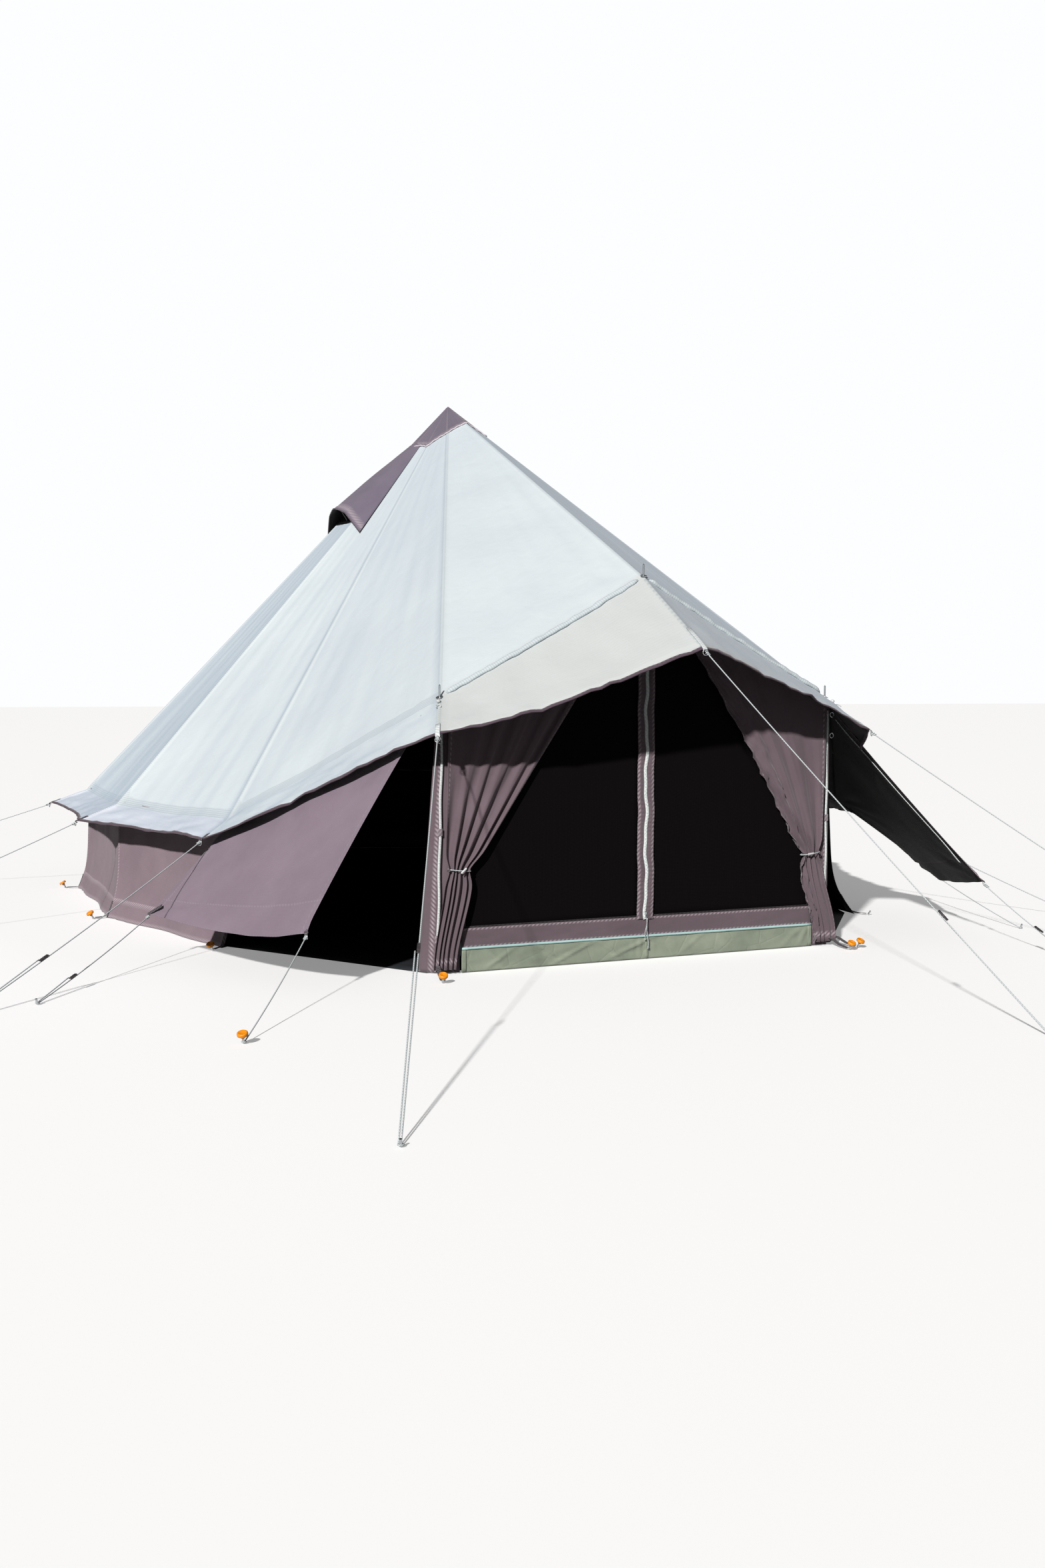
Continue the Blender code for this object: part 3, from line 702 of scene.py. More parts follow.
def woven_cloth(name, light, shade, spacing=0.006, roughness=0.85, stitch_colour="#B9ABB2", nap=0.25):
    """Close-woven polyester or canvas: matt, evenly dyed, a shade paler where it has rubbed.

    The real weave is under 1 mm. It is drawn at the spacing given so that it shows.
    """
    finish, tree, shader = new_finish(name, light, roughness)
    shader.inputs["Specular IOR Level"].default_value = 0.3
    shader.inputs["Sheen Weight"].default_value = nap
    shader.inputs["Sheen Roughness"].default_value = 0.5
    place = add_node(tree, "ShaderNodeTexCoord")
    chart = add_node(tree, "ShaderNodeUVMap", {"uv_map": "cloth"})
    waves = [
        add_node(
            tree, "ShaderNodeTexWave",
            {"bands_direction": direction, "Scale": math.tau / 20 / spacing, "Distortion": 0.5, "Detail Scale": 3.0},
            {"Vector": chart.outputs[0]},
        )
        for direction in ("X", "Y")
    ]
    weave = add_node(
        tree, "ShaderNodeMath", {"operation": "MULTIPLY"}, {0: waves[0].outputs[1], 1: waves[1].outputs[1]}
    )
    cloud = add_node(
        tree, "ShaderNodeTexNoise", {"Scale": 3.5, "Detail": 6.0, "Roughness": 0.6},
        {"Vector": place.outputs["Object"]},
    )
    soft = add_node(tree, "ShaderNodeMapRange", {"From Min": 0.3, "From Max": 0.7}, {0: cloud.outputs[0]})
    base = add_node(
        tree, "ShaderNodeMix", {"data_type": "RGBA", 6: linear(shade), 7: linear(light)}, {0: soft.outputs[0]}
    )
    edge = add_node(tree, "ShaderNodeAttribute", {"attribute_name": "stitch"})
    dashes = add_node(
        tree, "ShaderNodeTexWave", {"bands_direction": "DIAGONAL", "Scale": math.tau / 20 / 0.010, "Distortion": 0.0},
        {"Vector": chart.outputs[0]},
    )
    sewn = add_node(
        tree, "ShaderNodeMath", {"operation": "MULTIPLY"}, {0: edge.outputs["Fac"], 1: dashes.outputs[1]}
    )
    stitched = add_node(
        tree, "ShaderNodeMix", {"data_type": "RGBA", 7: linear(stitch_colour)},
        {0: sewn.outputs[0], 6: base.outputs[2]},
    )
    thread = add_node(tree, "ShaderNodeMapRange", {"To Min": 0.93, "To Max": 1.04}, {0: weave.outputs[0]})
    toned = add_node(
        tree, "ShaderNodeVectorMath", {"operation": "SCALE"}, {0: stitched.outputs[2], "Scale": thread.outputs[0]}
    )
    tree.links.new(toned.outputs[0], shader.inputs["Base Color"])
    rub = add_node(
        tree, "ShaderNodeMapRange", {"To Min": roughness - 0.08, "To Max": min(1.0, roughness + 0.08)},
        {0: cloud.outputs[0]},
    )
    tree.links.new(rub.outputs[0], shader.inputs["Roughness"])
    creases = add_node(
        tree, "ShaderNodeTexNoise", {"Scale": 14.0, "Detail": 5.0, "Distortion": 0.6},
        {"Vector": place.outputs["Object"]},
    )
    coarse = add_node(tree, "ShaderNodeBump", {"Strength": 0.4, "Distance": 0.005}, {"Height": creases.outputs[0]})
    bump = add_node(
        tree, "ShaderNodeBump", {"Strength": 0.35, "Distance": 0.0008},
        {"Height": weave.outputs[0], "Normal": coarse.outputs["Normal"]},
    )
    tree.links.new(bump.outputs["Normal"], shader.inputs["Normal"])
    return finish


# painted shade: this near-black cloth lines the inside of the roof, low wall and vent hood and fills the strips over
# the doors, standing for the shade inside the tent; on the netting leaves it is their dark binding tape
DARK_TAPE_AND_SHADE_CLOTH = woven_cloth("dark_tape_and_painted_shade_cloth", "#2A2628", "#1F1C1E", 0.006, 0.8, "#3A3538", 0.05)
MAUVE_CLOTH = woven_cloth("mauve_polyester", "#8F7D85", "#816F78")
DOOR_MAUVE = woven_cloth("mauve_door_polyester", "#72636A", "#65565D")
CAP_MAUVE = woven_cloth("violet_grey_cap_polyester", "#776E7D", "#6A6171")
MAUVE_BINDING = woven_cloth("mauve_binding_tape", "#5B4A55", "#4C3E48", 0.003, 0.8, "#8E7F89")


def cloth_sheet(name, rows, finish, thick, outward, closed=False, marks=None, inner=None):
    """A sheet through rows of places, as a skin with its thickness on the far side from outward.

    marks gives named values for each place. inner is the finish of the far side.
    Returns the piece and the area of its cut.
    """
    shape = bmesh.new()
    chart = shape.loops.layers.uv.new("cloth")
    layers = {mark: shape.verts.layers.float.new(mark) for mark in (marks or {})}
    middle = len(rows[0]) // 2
    downs = [0.0]
    for above, below in zip(rows, rows[1:]):
        downs.append(downs[-1] + (below[middle] - above[middle]).length)
    grid, charts = [], []
    for row_number, row in enumerate(rows):
        verts = [shape.verts.new(place) for place in row]
        for mark, layer in layers.items():
            for vert, value in zip(verts, marks[mark][row_number]):
                vert[layer] = value
        across = [0.0]
        for first, second in zip(row, row[1:]):
            across.append(across[-1] + (second - first).length)
        half = across[middle]
        grid.append(verts)
        charts.append([(reach - half, downs[row_number]) for reach in across])
    area = 0.0
    count = len(rows[0])
    spans = range(count if closed else count - 1)
    for row_number in range(len(rows) - 1):
        for column in spans:
            after = (column + 1) % count
            corners = (
                (row_number, column), (row_number + 1, column), (row_number + 1, after), (row_number, after)
            )
            face = shape.faces.new([grid[row][spot] for row, spot in corners])
            face.smooth = True
            area += face.calc_area()
            step = (charts[row_number][1][0] - charts[row_number][0][0]) if after == 0 else 0.0
            for loop, (row, spot) in zip(face.loops, corners):
                u, v = charts[row][spot]
                if after == 0 and spot == 0:
                    u = charts[row][count - 1][0] + step
                loop[chart].uv = (u, v)
    shape.normal_update()
    shape.faces.ensure_lookup_table()
    probe = shape.faces[len(shape.faces) // 2]
    facing = outward(probe.calc_center_median()) if callable(outward) else outward
    if probe.normal.dot(facing) < 0:
        bmesh.ops.reverse_faces(shape, faces=shape.faces)
    data = bpy.data.meshes.new(name)
    shape.to_mesh(data)
    shape.free()
    data.materials.append(finish)
    piece = link_object(name, data)
    wall = piece.modifiers.new("thickness", "SOLIDIFY")
    wall.thickness = thick
    wall.offset = -1.0
    if inner is not None:
        data.materials.append(inner)
        wall.material_offset = 1
    bpy.context.view_layer.objects.active = piece
    bpy.ops.object.modifier_apply(modifier="thickness")
    return piece, area


SEAM_HALF = 0.008
SEAM_EDGE = 0.0105
SEAM_RISE = 0.0016
GORE_COLUMNS = 26
ROOF_TOP = 0.04
ROOF_ROWS = 56
EAVE_ROWS = 11
PORCH_GORES = (0, 11)
WALLED_GORES = range(2, 10)
FAR_OFF = 9.0


def gore_columns(width):
    """Shares across a gore: close to its seams first, then even."""
    near = [0.0, min(0.2, SEAM_HALF / width), min(0.3, SEAM_EDGE / width)]
    room = 1.0 - 2 * near[2]
    even = [near[2] + room * step / GORE_COLUMNS for step in range(1, GORE_COLUMNS)]
    return near + even + [1.0 - near[2], 1.0 - near[1]]


roof_rows = []
roof_marks = {"seam": [], "porch": [], "overhang": []}
roof_downs = [ROOF_TOP + (1.0 - ROOF_TOP) * (step / ROOF_ROWS) for step in range(ROOF_ROWS + 1)]
roof_downs += [1.0 + step / EAVE_ROWS for step in range(1, EAVE_ROWS + 1)]
for down in roof_downs:
    row, seams, porches, overs = [], [], [], []
    for gore in range(GORES):
        first, first_tip = ROOF_RING[gore]
        second, second_tip = ROOF_RING[(gore + 1) % GORES]
        width = (second - first).length * min(down, 1.0)
        for across in gore_columns(width):
            off = min(across, 1.0 - across) * width
            lift = SEAM_RISE if off <= SEAM_HALF + 1e-6 else 0.0
            row.append(roof_spot(gore, across, down, lift))
            from_wall = abs(down - 1.0) * 0.55 if gore not in PORCH_GORES else FAR_OFF
            seams.append(min(off, from_wall if down > 0.97 else FAR_OFF))
            porches.append(1.0 if gore in PORCH_GORES and down >= 1.0 else 0.0)
            overs.append(1.0 if gore in WALLED_GORES and down > 1.001 else 0.0)
    roof_rows.append(row)
    for mark, values in zip(("seam", "porch", "overhang"), (seams, porches, overs)):
        roof_marks[mark].append(values)
roof, roof_area = cloth_sheet(
    "roof_canvas", roof_rows, CANVAS, ROOF_CLOTH_THICK, lambda place: Vector((place.x, place.y, 1.0)),
    closed=True, marks=roof_marks, inner=DARK_TAPE_AND_SHADE_CLOTH,
)
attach(roof, "tent")
ROOF_WORDS = ("front", "door", "side", "flank", "rear", "back")
for word in ("left", "right"):
    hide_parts(f"porch_canopy_{word}", *[f"roof_{label}_{word}" for label in ROOF_WORDS])


# ---------------------------------------------------------------- roof trim
# A mauve tape is folded over the whole hem of the roof. Each corner has a webbing tab
# with a wire ring for its guy rope, and a padded welt covers the fold over the door poles.
HEM_TAPE_DEEP = 0.016
HEM_TAPE_LIFT = 0.0022
hem_rings = []
for gore in range(GORES):
    first, second = ROOF_RING[gore][0], ROOF_RING[(gore + 1) % GORES][0]
    for across in gore_columns((second - first).length):
        low = roof_spot(gore, across, 2.0)
        high = roof_spot(gore, across, 1.955)
        up = (high - low).normalized() * HEM_TAPE_DEEP
        along = roof_spot(gore, min(1.0, across + 0.02), 2.0) - roof_spot(gore, max(0.0, across - 0.02), 2.0)
        out = along.cross(up).normalized()
        if out.z < 0:
            out = -out
        skin = out * (ROOF_CLOTH_THICK + HEM_TAPE_LIFT)
        hem_rings.append([
            low + up + out * HEM_TAPE_LIFT, low + up * 0.5 + out * 0.0026, low + out * HEM_TAPE_LIFT,
            low - up * 0.12, low - skin, low + up - skin,
        ])
hem_tape = loft(
    "roof_hem_tape", hem_rings, MAUVE_BINDING, closed=True, marks={"stitch": (0.9, 0.0, 0.0, 0.0, 0.0, 0.0)}
)
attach(hem_tape, "tent")


def strap_mesh(name, route, facing, wide, thick, finish, stitched=True):
    """A flat strap along a route, its underside on the route and its face turned to facing."""
    rings = []
    count = len(route)
    for spot in range(count):
        along = (route[min(spot + 1, count - 1)] - route[max(spot - 1, 0)]).normalized()
        side = along.cross(facing).normalized()
        out = side.cross(along).normalized()
        half = side * wide / 2
        inset = side * (wide / 2 - min(0.003, wide * 0.2))
        rings.append([
            route[spot] - half, route[spot] - half + out * thick * 0.7, route[spot] - inset + out * thick,
            route[spot] + inset + out * thick, route[spot] + half + out * thick * 0.7, route[spot] + half,
        ])
    sewn = 1.0 if stitched else 0.0
    return loft(name, rings, finish, marks={"stitch": (0.0, 0.0, sewn, sewn, 0.0, 0.0)})


WEBBING = woven_cloth("dark_polypropylene_webbing", "#474044", "#39343A", 0.004, 0.6, "#6B6468", 0.1)
PALE_WEBBING = woven_cloth("pale_polyester_webbing", "#CDD3D4", "#BCC4C6", 0.004, 0.7, "#E4E8E9", 0.1)
# The three front corners have pale tabs, the others dark ones. A wire ring hangs from each.
FRONT_CORNERS = (0, 1, 11)
RING_WIRE = 0.0018
RING_ROUND = 0.012
for corner in range(GORES):
    edge, tip = ROOF_RING[corner]
    out = (tip - edge).normalized()
    along = (ROOF_RING[(corner + 1) % GORES][1] - ROOF_RING[corner - 1][1]).normalized()
    face = along.cross(out)
    if face.z < 0:
        face = -face
    tab_route = [roof_spot(corner, 0.0, 1.0 + stop, 0.0022) for stop in (0.74, 0.82, 0.90, 0.97)]
    tab_route += [tip + out * 0.006 + face * 0.0015, tip + out * 0.012 - face * 0.004]
    webbing = PALE_WEBBING if corner in FRONT_CORNERS else WEBBING
    tab = strap_mesh(f"corner_tab_{corner}", tab_route, face, 0.022, 0.0016, webbing)
    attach(tab, "tent")
    middle = tip + out * 0.012 - Vector((0, 0, RING_ROUND))
    ring_route = hoop(middle, along * RING_ROUND, Vector((0, 0, RING_ROUND)), 20)
    ring = tube_mesh(f"corner_ring_{corner}", ring_route, RING_WIRE, 8, STEEL_WIRE, closed=True)
    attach(ring, "tent")

WELT_ROUND = 0.0115
WELT_STEPS = 60
for gore, word, ends in ((0, "right", (0.03, 0.965)), (11, "left", (0.035, 0.97))):
    route = []
    for step in range(WELT_STEPS + 1):
        across = ends[0] + (ends[1] - ends[0]) * step / WELT_STEPS
        sink = 0.004 if step in (0, WELT_STEPS) else 0.0
        route.append(roof_spot(gore, across, 1.0, WELT_ROUND * 0.55 - sink))
    rings = []
    for step, place in enumerate(route):
        along = (route[min(step + 1, WELT_STEPS)] - route[max(step - 1, 0)]).normalized()
        out = Vector((0, -0.45, 1.0))
        out = (out - along * out.dot(along)).normalized()
        side = along.cross(out)
        swell = 0.85 + 0.15 * math.sin(step * 1.3) * math.sin(step * 0.37)
        swell *= 0.35 if step in (0, WELT_STEPS) else (0.8 if step in (1, WELT_STEPS - 1) else 1.0)
        rings.append(hoop(place, side * (1.5 * WELT_ROUND * swell), out * (WELT_ROUND * swell), 12))
    welt = loft(f"pole_welt_{word}", rings, CANVAS)
    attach(welt, "tent")

# Zinc-plated eyelets take the spikes of the door poles through the roof. Each is a rolled
# flange. Beside the two side ones a pale nylon bead and hook stand on the seam.
bpy.ops.mesh.primitive_cylinder_add(vertices=24, radius=0.016, depth=0.0022, location=(0, 0, 0))
eyelet_model = bpy.context.object
select_faces(eyelet_model, lambda face: abs(face.normal.z) > 0.9)
bpy.ops.mesh.inset(thickness=0.0045)
bpy.ops.transform.resize(value=(1.0, 1.0, 1.6))
bpy.ops.mesh.inset(thickness=0.0045)
bpy.ops.transform.resize(value=(1.0, 1.0, 0.4))
eyelet_model = finish_piece(eyelet_model, "eyelet_model", STEEL_WIRE, 0.0005)
bpy.ops.mesh.primitive_uv_sphere_add(segments=16, ring_count=10, radius=0.009, location=(0, 0, 0))
bead_model = bpy.context.object
select_faces(bead_model, lambda face: abs(face.center.z) > 0.0075)
bpy.ops.transform.resize(value=(1.0, 1.0, 0.8))
bead_model = finish_piece(bead_model, "bead_model", PALE_NYLON)
BEAD_DOWN, HOOK_DOWN = 0.045, 0.085
# name: the corner it goes through, and how far it leans sideways
SPIKE_PLACES = {"centre": (0, 0.0), "right": (1, 0.42), "left": (11, -0.42)}
for word, (corner, lean) in SPIKE_PLACES.items():
    place, tip = ROOF_RING[corner]
    out = Vector((lean, -0.30, 1.0))
    turn = out.to_track_quat("Z", "Y").to_matrix()
    eyelet = copy_piece(eyelet_model, f"eyelet_{word}", turn, place + out.normalized() * 0.0045)
    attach(eyelet, "tent")
    if word == "centre":
        continue
    down_seam = (tip - place).normalized()
    seat = roof_spot(corner, 0.0, 1.0 + BEAD_DOWN / (tip - place).length, 0.010)
    bead = copy_piece(bead_model, f"storm_bead_{word}", turn, seat)
    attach(bead, "tent")
    hook_route = []
    hook_seat = roof_spot(corner, 0.0, 1.0 + HOOK_DOWN / (tip - place).length, 0.007)
    for step in range(15):
        swing = math.pi * (0.25 + 1.5 * step / 14)
        bend = down_seam * 0.012 * math.cos(swing) + Vector((1, 0, 0)) * 0.012 * math.sin(swing)
        hook_route.append(hook_seat + bend)
    hook = tube_mesh(f"storm_hook_{word}", hook_route, 0.0026, 8, PALE_NYLON)
    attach(hook, "tent")
for model in (eyelet_model, bead_model):
    bpy.data.objects.remove(model)


# ---------------------------------------------------------------- peak cap and vent
# A mauve hat of coated cloth is sewn over the top of the roof, edged with a pale piping.
# Below it on the left a hooded vent stands open on two short struts over a mesh panel.
CAP_REACH = 0.108
CAP_SKEW = 0.17
CAP_LIFT = 0.0052
CAP_ROWS = 18


def cap_spot(gore, across, down, lift=0.0):
    """A place on the cap: across a gore, down from the apex (0) to its edge (1)."""
    first = ROOF_RING[gore % GORES][0]
    second = ROOF_RING[(gore + 1) % GORES][0]
    belly = 4.0 * across * (1.0 - across)
    reaches = [
        CAP_REACH * (1.0 - CAP_SKEW * place.y / place.length) * down * (1.0 - 0.03 * belly * down)
        for place in (first, second)
    ]
    spot = APEX.lerp(first, reaches[0]).lerp(APEX.lerp(second, reaches[1]), across)
    out = (second - APEX).cross(first - APEX).normalized()
    if out.z < 0:
        out = -out
    wave = 0.0015 * math.sin(across * 19.0 + gore * 2.0) * down * min(1.0, 2 * belly)
    seam = 0.0012 if min(across, 1.0 - across) < 0.07 else 0.0
    return spot + out * (CAP_LIFT + wave + seam + lift) - Vector((0, 0, 0.0008))


cap_rows = []
cap_marks = {"stitch": []}
cap_columns = [0.0, 0.06, 0.10] + [0.10 + 0.8 * step / 12 for step in range(1, 12)] + [0.90, 0.94]
for step in range(CAP_ROWS + 1):
    down = 0.012 + 0.988 * step / CAP_ROWS
    cap_rows.append([cap_spot(gore, across, down) for gore in range(GORES) for across in cap_columns])
    sewn = 0.7 if step == CAP_ROWS - 1 else 0.0
    cap_marks["stitch"].append(
        [sewn if 0.02 < across < 0.98 else 0.5 for gore in range(GORES) for across in cap_columns]
    )
cap, cap_area = cloth_sheet(
    "peak_cap", cap_rows, CAP_MAUVE, 0.0018, lambda place: Vector((place.x, place.y, 1.0)), closed=True,
    marks=cap_marks,
)
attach(cap, "tent")
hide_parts("apex_cap")

PIPING = woven_cloth("pale_piping_cord", "#E6DCE0", "#D3C7CD", 0.003, 0.7, "#F0E9EC")
piping_route = [cap_spot(gore, across, 1.010, 0.0006) for gore in range(GORES) for across in cap_columns]
cap_piping = tube_mesh("cap_piping", piping_route, 0.0038, 8, PIPING, closed=True)
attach(cap_piping, "tent")
BUTTON_PLACE = (0, 0, 2.9935)
bpy.ops.mesh.primitive_uv_sphere_add(segments=16, ring_count=10, radius=0.011, location=BUTTON_PLACE)
cap_button = bpy.context.object
select_faces(cap_button, lambda face: face.center.z > 0.002)
bpy.ops.transform.resize(value=(0.8, 0.8, 1.0), center_override=BUTTON_PLACE)
cap_button = finish_piece(cap_button, "cap_button", MAUVE_BINDING)
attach(cap_button, "tent")

VENT_TURN = math.radians(91.0)
VENT_DOWN = Vector((-math.sin(VENT_TURN), -math.cos(VENT_TURN), 0.0))
VENT_ACROSS = Vector((-VENT_DOWN.y, VENT_DOWN.x, 0.0))
VENT_RUN = 2.26
VENT_FROM, VENT_TO = 0.090, 0.30
VENT_HALF = 0.40
VENT_RISE = 0.090
STRUT_FOOT, STRUT_SPREAD = 0.292, 0.34


def flat_roof_height(x, y):
    """Height of the unsagged roof over a place of the plan."""
    for gore in range(GORES):
        first, second = ROOF_RING[gore][0], ROOF_RING[(gore + 1) % GORES][0]
        spread = first.x * second.y - first.y * second.x
        a = (x * second.y - y * second.x) / spread
        b = (first.x * y - first.y * x) / spread
        if a >= -1e-9 and b >= -1e-9:
            return APEX.z + a * (first.z - APEX.z) + b * (second.z - APEX.z)
    return WALL_HEIGHT


def hood_spot(down, around, lift=0.0):
    """A place on the hood: down from its root (0) to its mouth (1), around from one foot to the other."""
    reach = VENT_RUN * (VENT_FROM + down * (VENT_TO - VENT_FROM))
    half = VENT_HALF * (0.28 + 0.72 * down)
    rise = VENT_RISE * down ** 0.8
    crown = (1.0 - abs(2.0 * around - 1.0) ** 1.25) ** 0.9
    place = VENT_DOWN * reach + VENT_ACROSS * (2.0 * around - 1.0) * half
    sag = 0.006 * math.sin(math.tau * around * 2.0) * down * (1 - down)
    wave = 0.0025 * noise.noise(Vector((around * 7.0, down * 5.0, 2.0)))
    height = flat_roof_height(place.x, place.y) + 0.0035 + 0.006 * down + (rise + sag + wave + lift) * crown
    return Vector((place.x, place.y, height)) + VENT_DOWN * (0.6 * rise + lift) * crown


hood_downs = [step / 22 for step in range(22)] + [0.965, 0.985, 1.0]
hood_arounds = [step / 36 for step in range(37)]
hood_rows = [
    [hood_spot(down, around, 0.0015 if down > 0.96 else 0.0) for around in hood_arounds] for down in hood_downs
]
hood_stitch = [[0.9 if 0.95 < down < 0.97 else 0.0 for around in hood_arounds] for down in hood_downs]
hood, hood_area = cloth_sheet(
    "vent_cowl", hood_rows, CAP_MAUVE, 0.0025, Vector((0, 0, 1)), marks={"stitch": hood_stitch}, inner=DARK_TAPE_AND_SHADE_CLOTH
)
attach(hood, "tent")
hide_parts("vent_hood")
mouth_route = [hood_spot(1.0, around, 0.002) for around in hood_arounds]
mouth_piping = tube_mesh("vent_mouth_piping", mouth_route, 0.0032, 8, MAUVE_BINDING)
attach(mouth_piping, "tent")
for number, around in enumerate((0.58, 0.80)):
    top = hood_spot(0.97, around) - Vector((0, 0, 0.004))
    foot = VENT_DOWN * VENT_RUN * STRUT_FOOT + VENT_ACROSS * (2.0 * around - 1.0) * STRUT_SPREAD
    foot.z = flat_roof_height(foot.x, foot.y) + 0.006
    strut = tube_mesh(
        f"vent_strut_{number}", [foot.lerp(top, step / 8) for step in range(9)], 0.0045, 8, DARK_NYLON
    )
    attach(strut, "tent")


def insect_mesh(name, colour, thread):
    """Black polyester insect netting: 1.5 mm holes, drawn at 6 mm so that the grid shows. The net is opaque, and its
    near-black also stands as painted shade for the dark inside seen through it.
    """
    finish, tree, shader = new_finish(name, colour, 0.9)
    shader.inputs["Specular IOR Level"].default_value = 0.04
    chart = add_node(tree, "ShaderNodeUVMap", {"uv_map": "cloth"})
    waves = [
        add_node(
            tree, "ShaderNodeTexWave",
            {"bands_direction": direction, "Scale": math.tau / 20 / 0.006}, {"Vector": chart.outputs[0]},
        )
        for direction in ("X", "Y")
    ]
    grid = add_node(
        tree, "ShaderNodeMath", {"operation": "MAXIMUM"}, {0: waves[0].outputs[1], 1: waves[1].outputs[1]}
    )
    raised = add_node(tree, "ShaderNodeMapRange", {"From Min": 0.6, "To Max": 0.8}, {0: grid.outputs[0]})
    tint = add_node(
        tree, "ShaderNodeMix", {"data_type": "RGBA", 6: linear(colour), 7: linear(thread)}, {0: raised.outputs[0]}
    )
    tree.links.new(tint.outputs[2], shader.inputs["Base Color"])
    bump = add_node(tree, "ShaderNodeBump", {"Strength": 0.4, "Distance": 0.0006}, {"Height": raised.outputs[0]})
    tree.links.new(bump.outputs["Normal"], shader.inputs["Normal"])
    return finish


# partly painted shade: the black of the net, made opaque, also stands for the shaded inside behind it
INSECT_MESH = insect_mesh("black_insect_netting", "#0B090A", "#131012")
vent_rows = []
for down in [step / 10 for step in range(11)]:
    row = []
    for side in [step / 12 - 0.5 for step in range(13)]:
        place = VENT_DOWN * VENT_RUN * (0.125 + 0.172 * down) + VENT_ACROSS * side * (0.26 + 0.48 * down)
        row.append(Vector((place.x, place.y, flat_roof_height(place.x, place.y) + 0.0065)))
    vent_rows.append(row)
vent_net, vent_area = cloth_sheet("vent_netting", vent_rows, INSECT_MESH, 0.001, Vector((0, 0, 1)))
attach(vent_net, "tent")


# ---------------------------------------------------------------- low wall
# Mauve polyester, sewn to the roof and pegged at every corner. It hangs a little slack,
# kicks out at its foot, and has a stitched skirt band and a felled seam at each corner.
WALL_FLARE = 0.06
WALL_TUCK = -0.01
SKIRT_FROM = 0.83
WALL_FINE = 24
WALL_SLACK, WALL_FOLDS = 0.020, 0.011
# The foot of the wall beside the right side doorway is hauled forwards to its peg
HAULED_CORNER = 2
FRONT_HAUL = Vector((-0.080, -0.235, 0.0))


def ring_foot(corner, out=0.0, height=0.0):
    """The place on the ground below a corner of the wall line, moved outwards."""
    place = ROOF_RING[corner % GORES][0]
    flat = Vector((place.x, place.y, 0.0))
    haul = FRONT_HAUL if corner == HAULED_CORNER and out > 0 else Vector((0, 0, 0))
    return flat + flat.normalized() * out + (haul + Vector((0, 0, height)))


def wall_spot(gore, across, down, lift=0.0):
    """A place on the low wall: across between two corners, down from the roof (0) to the ground (1)."""
    if down > 1.0:
        return ring_foot(gore, WALL_TUCK, 0.0006).lerp(ring_foot(gore + 1, WALL_TUCK, 0.0006), across)
    top = roof_spot(gore, across, 0.994, -0.0022)
    foot = ring_foot(gore, WALL_FLARE, 0.0016).lerp(ring_foot(gore + 1, WALL_FLARE, 0.0016), across)
    mid_run = ring_foot(gore + 1) - ring_foot(gore)
    out = Vector((-mid_run.y, mid_run.x, 0.0)).normalized()
    if out.dot(foot) < 0:
        out = -out
    belly = 4.0 * across * (1.0 - across)
    spot = top.lerp(foot, down)
    kick = WALL_FLARE * (down ** 5 - down) * 0.85
    slack = -WALL_SLACK * belly * math.sin(math.pi * min(1.0, down * 1.05))
    width = mid_run.length
    folds = noise.noise(Vector((across * width * 5.0 + gore * 4.0, down * 1.1, 1.0)))
    folds += 0.5 * noise.noise(Vector((across * width * 13.0 + gore * 7.0, down * 2.2, 5.0)))
    calm = min(1.0, belly * 3.0) * math.sin(math.pi * min(0.97, 0.12 + 0.86 * down))
    foot_wave = 0.012 * belly * (1.0 + math.sin(across * width * 9.0 + gore)) * max(0.0, down - 0.7) / 0.3
    hauled = 0.0
    for end in (0.0, 1.0):
        near = abs(across - end) * width
        hauled += 0.006 * max(0.0, 1.0 - near / 0.35) * math.sin(near * 60.0 + down * 7.0) * (down ** 2)
    spot = spot + out * (kick + slack + WALL_FOLDS * folds * calm - foot_wave + hauled + lift)
    if gore == HAULED_CORNER:
        spot += FRONT_HAUL * (down ** 6 - down) * (1.0 - across)
    return spot


wall_downs = [SKIRT_FROM * step / 18 for step in range(19)]
wall_downs += [SKIRT_FROM + 0.006, SKIRT_FROM + 0.016, 0.88, 0.91, 0.94, 0.965, 0.985, 1.0]
# One more row turns the foot inwards over the groundsheet
wall_downs.append(1.001)
wall_rows = []
wall_marks = {"stitch": []}
for down in wall_downs:
    row, sewn = [], []
    for gore in WALLED_GORES:
        width = (ring_foot(gore + 1) - ring_foot(gore)).length
        stops = [0.0, 0.010 / width, 0.014 / width]
        stops += [stops[2] + (1 - 2 * stops[2]) * step / WALL_FINE for step in range(1, WALL_FINE)]
        stops += [1 - 0.014 / width, 1 - 0.010 / width]
        if gore == WALLED_GORES[-1]:
            stops.append(1.0)
        for across in stops:
            near = min(across, 1.0 - across) * width
            lift = 0.0018 if near <= 0.0101 else 0.0
            lift += 0.0016 if down > SKIRT_FROM + 0.001 else 0.0
            row.append(wall_spot(gore, across, down, lift))
            on_seam = 0.0095 < near < 0.0105
            on_band = SKIRT_FROM + 0.004 < down < SKIRT_FROM + 0.018 or down > 0.98
            sewn.append(0.8 if on_seam or on_band else 0.0)
    wall_rows.append(row)
    wall_marks["stitch"].append(sewn)
low_wall, wall_area = cloth_sheet(
    "low_wall", wall_rows, MAUVE_CLOTH, 0.0014, lambda place: Vector((place.x, place.y, 0.0)), marks=wall_marks,
    inner=DARK_TAPE_AND_SHADE_CLOTH,
)
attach(low_wall, "tent")
for word in ("left", "right"):
    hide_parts(*[f"wall_{label}_{word}" for label in ("side", "flank", "rear", "back")])

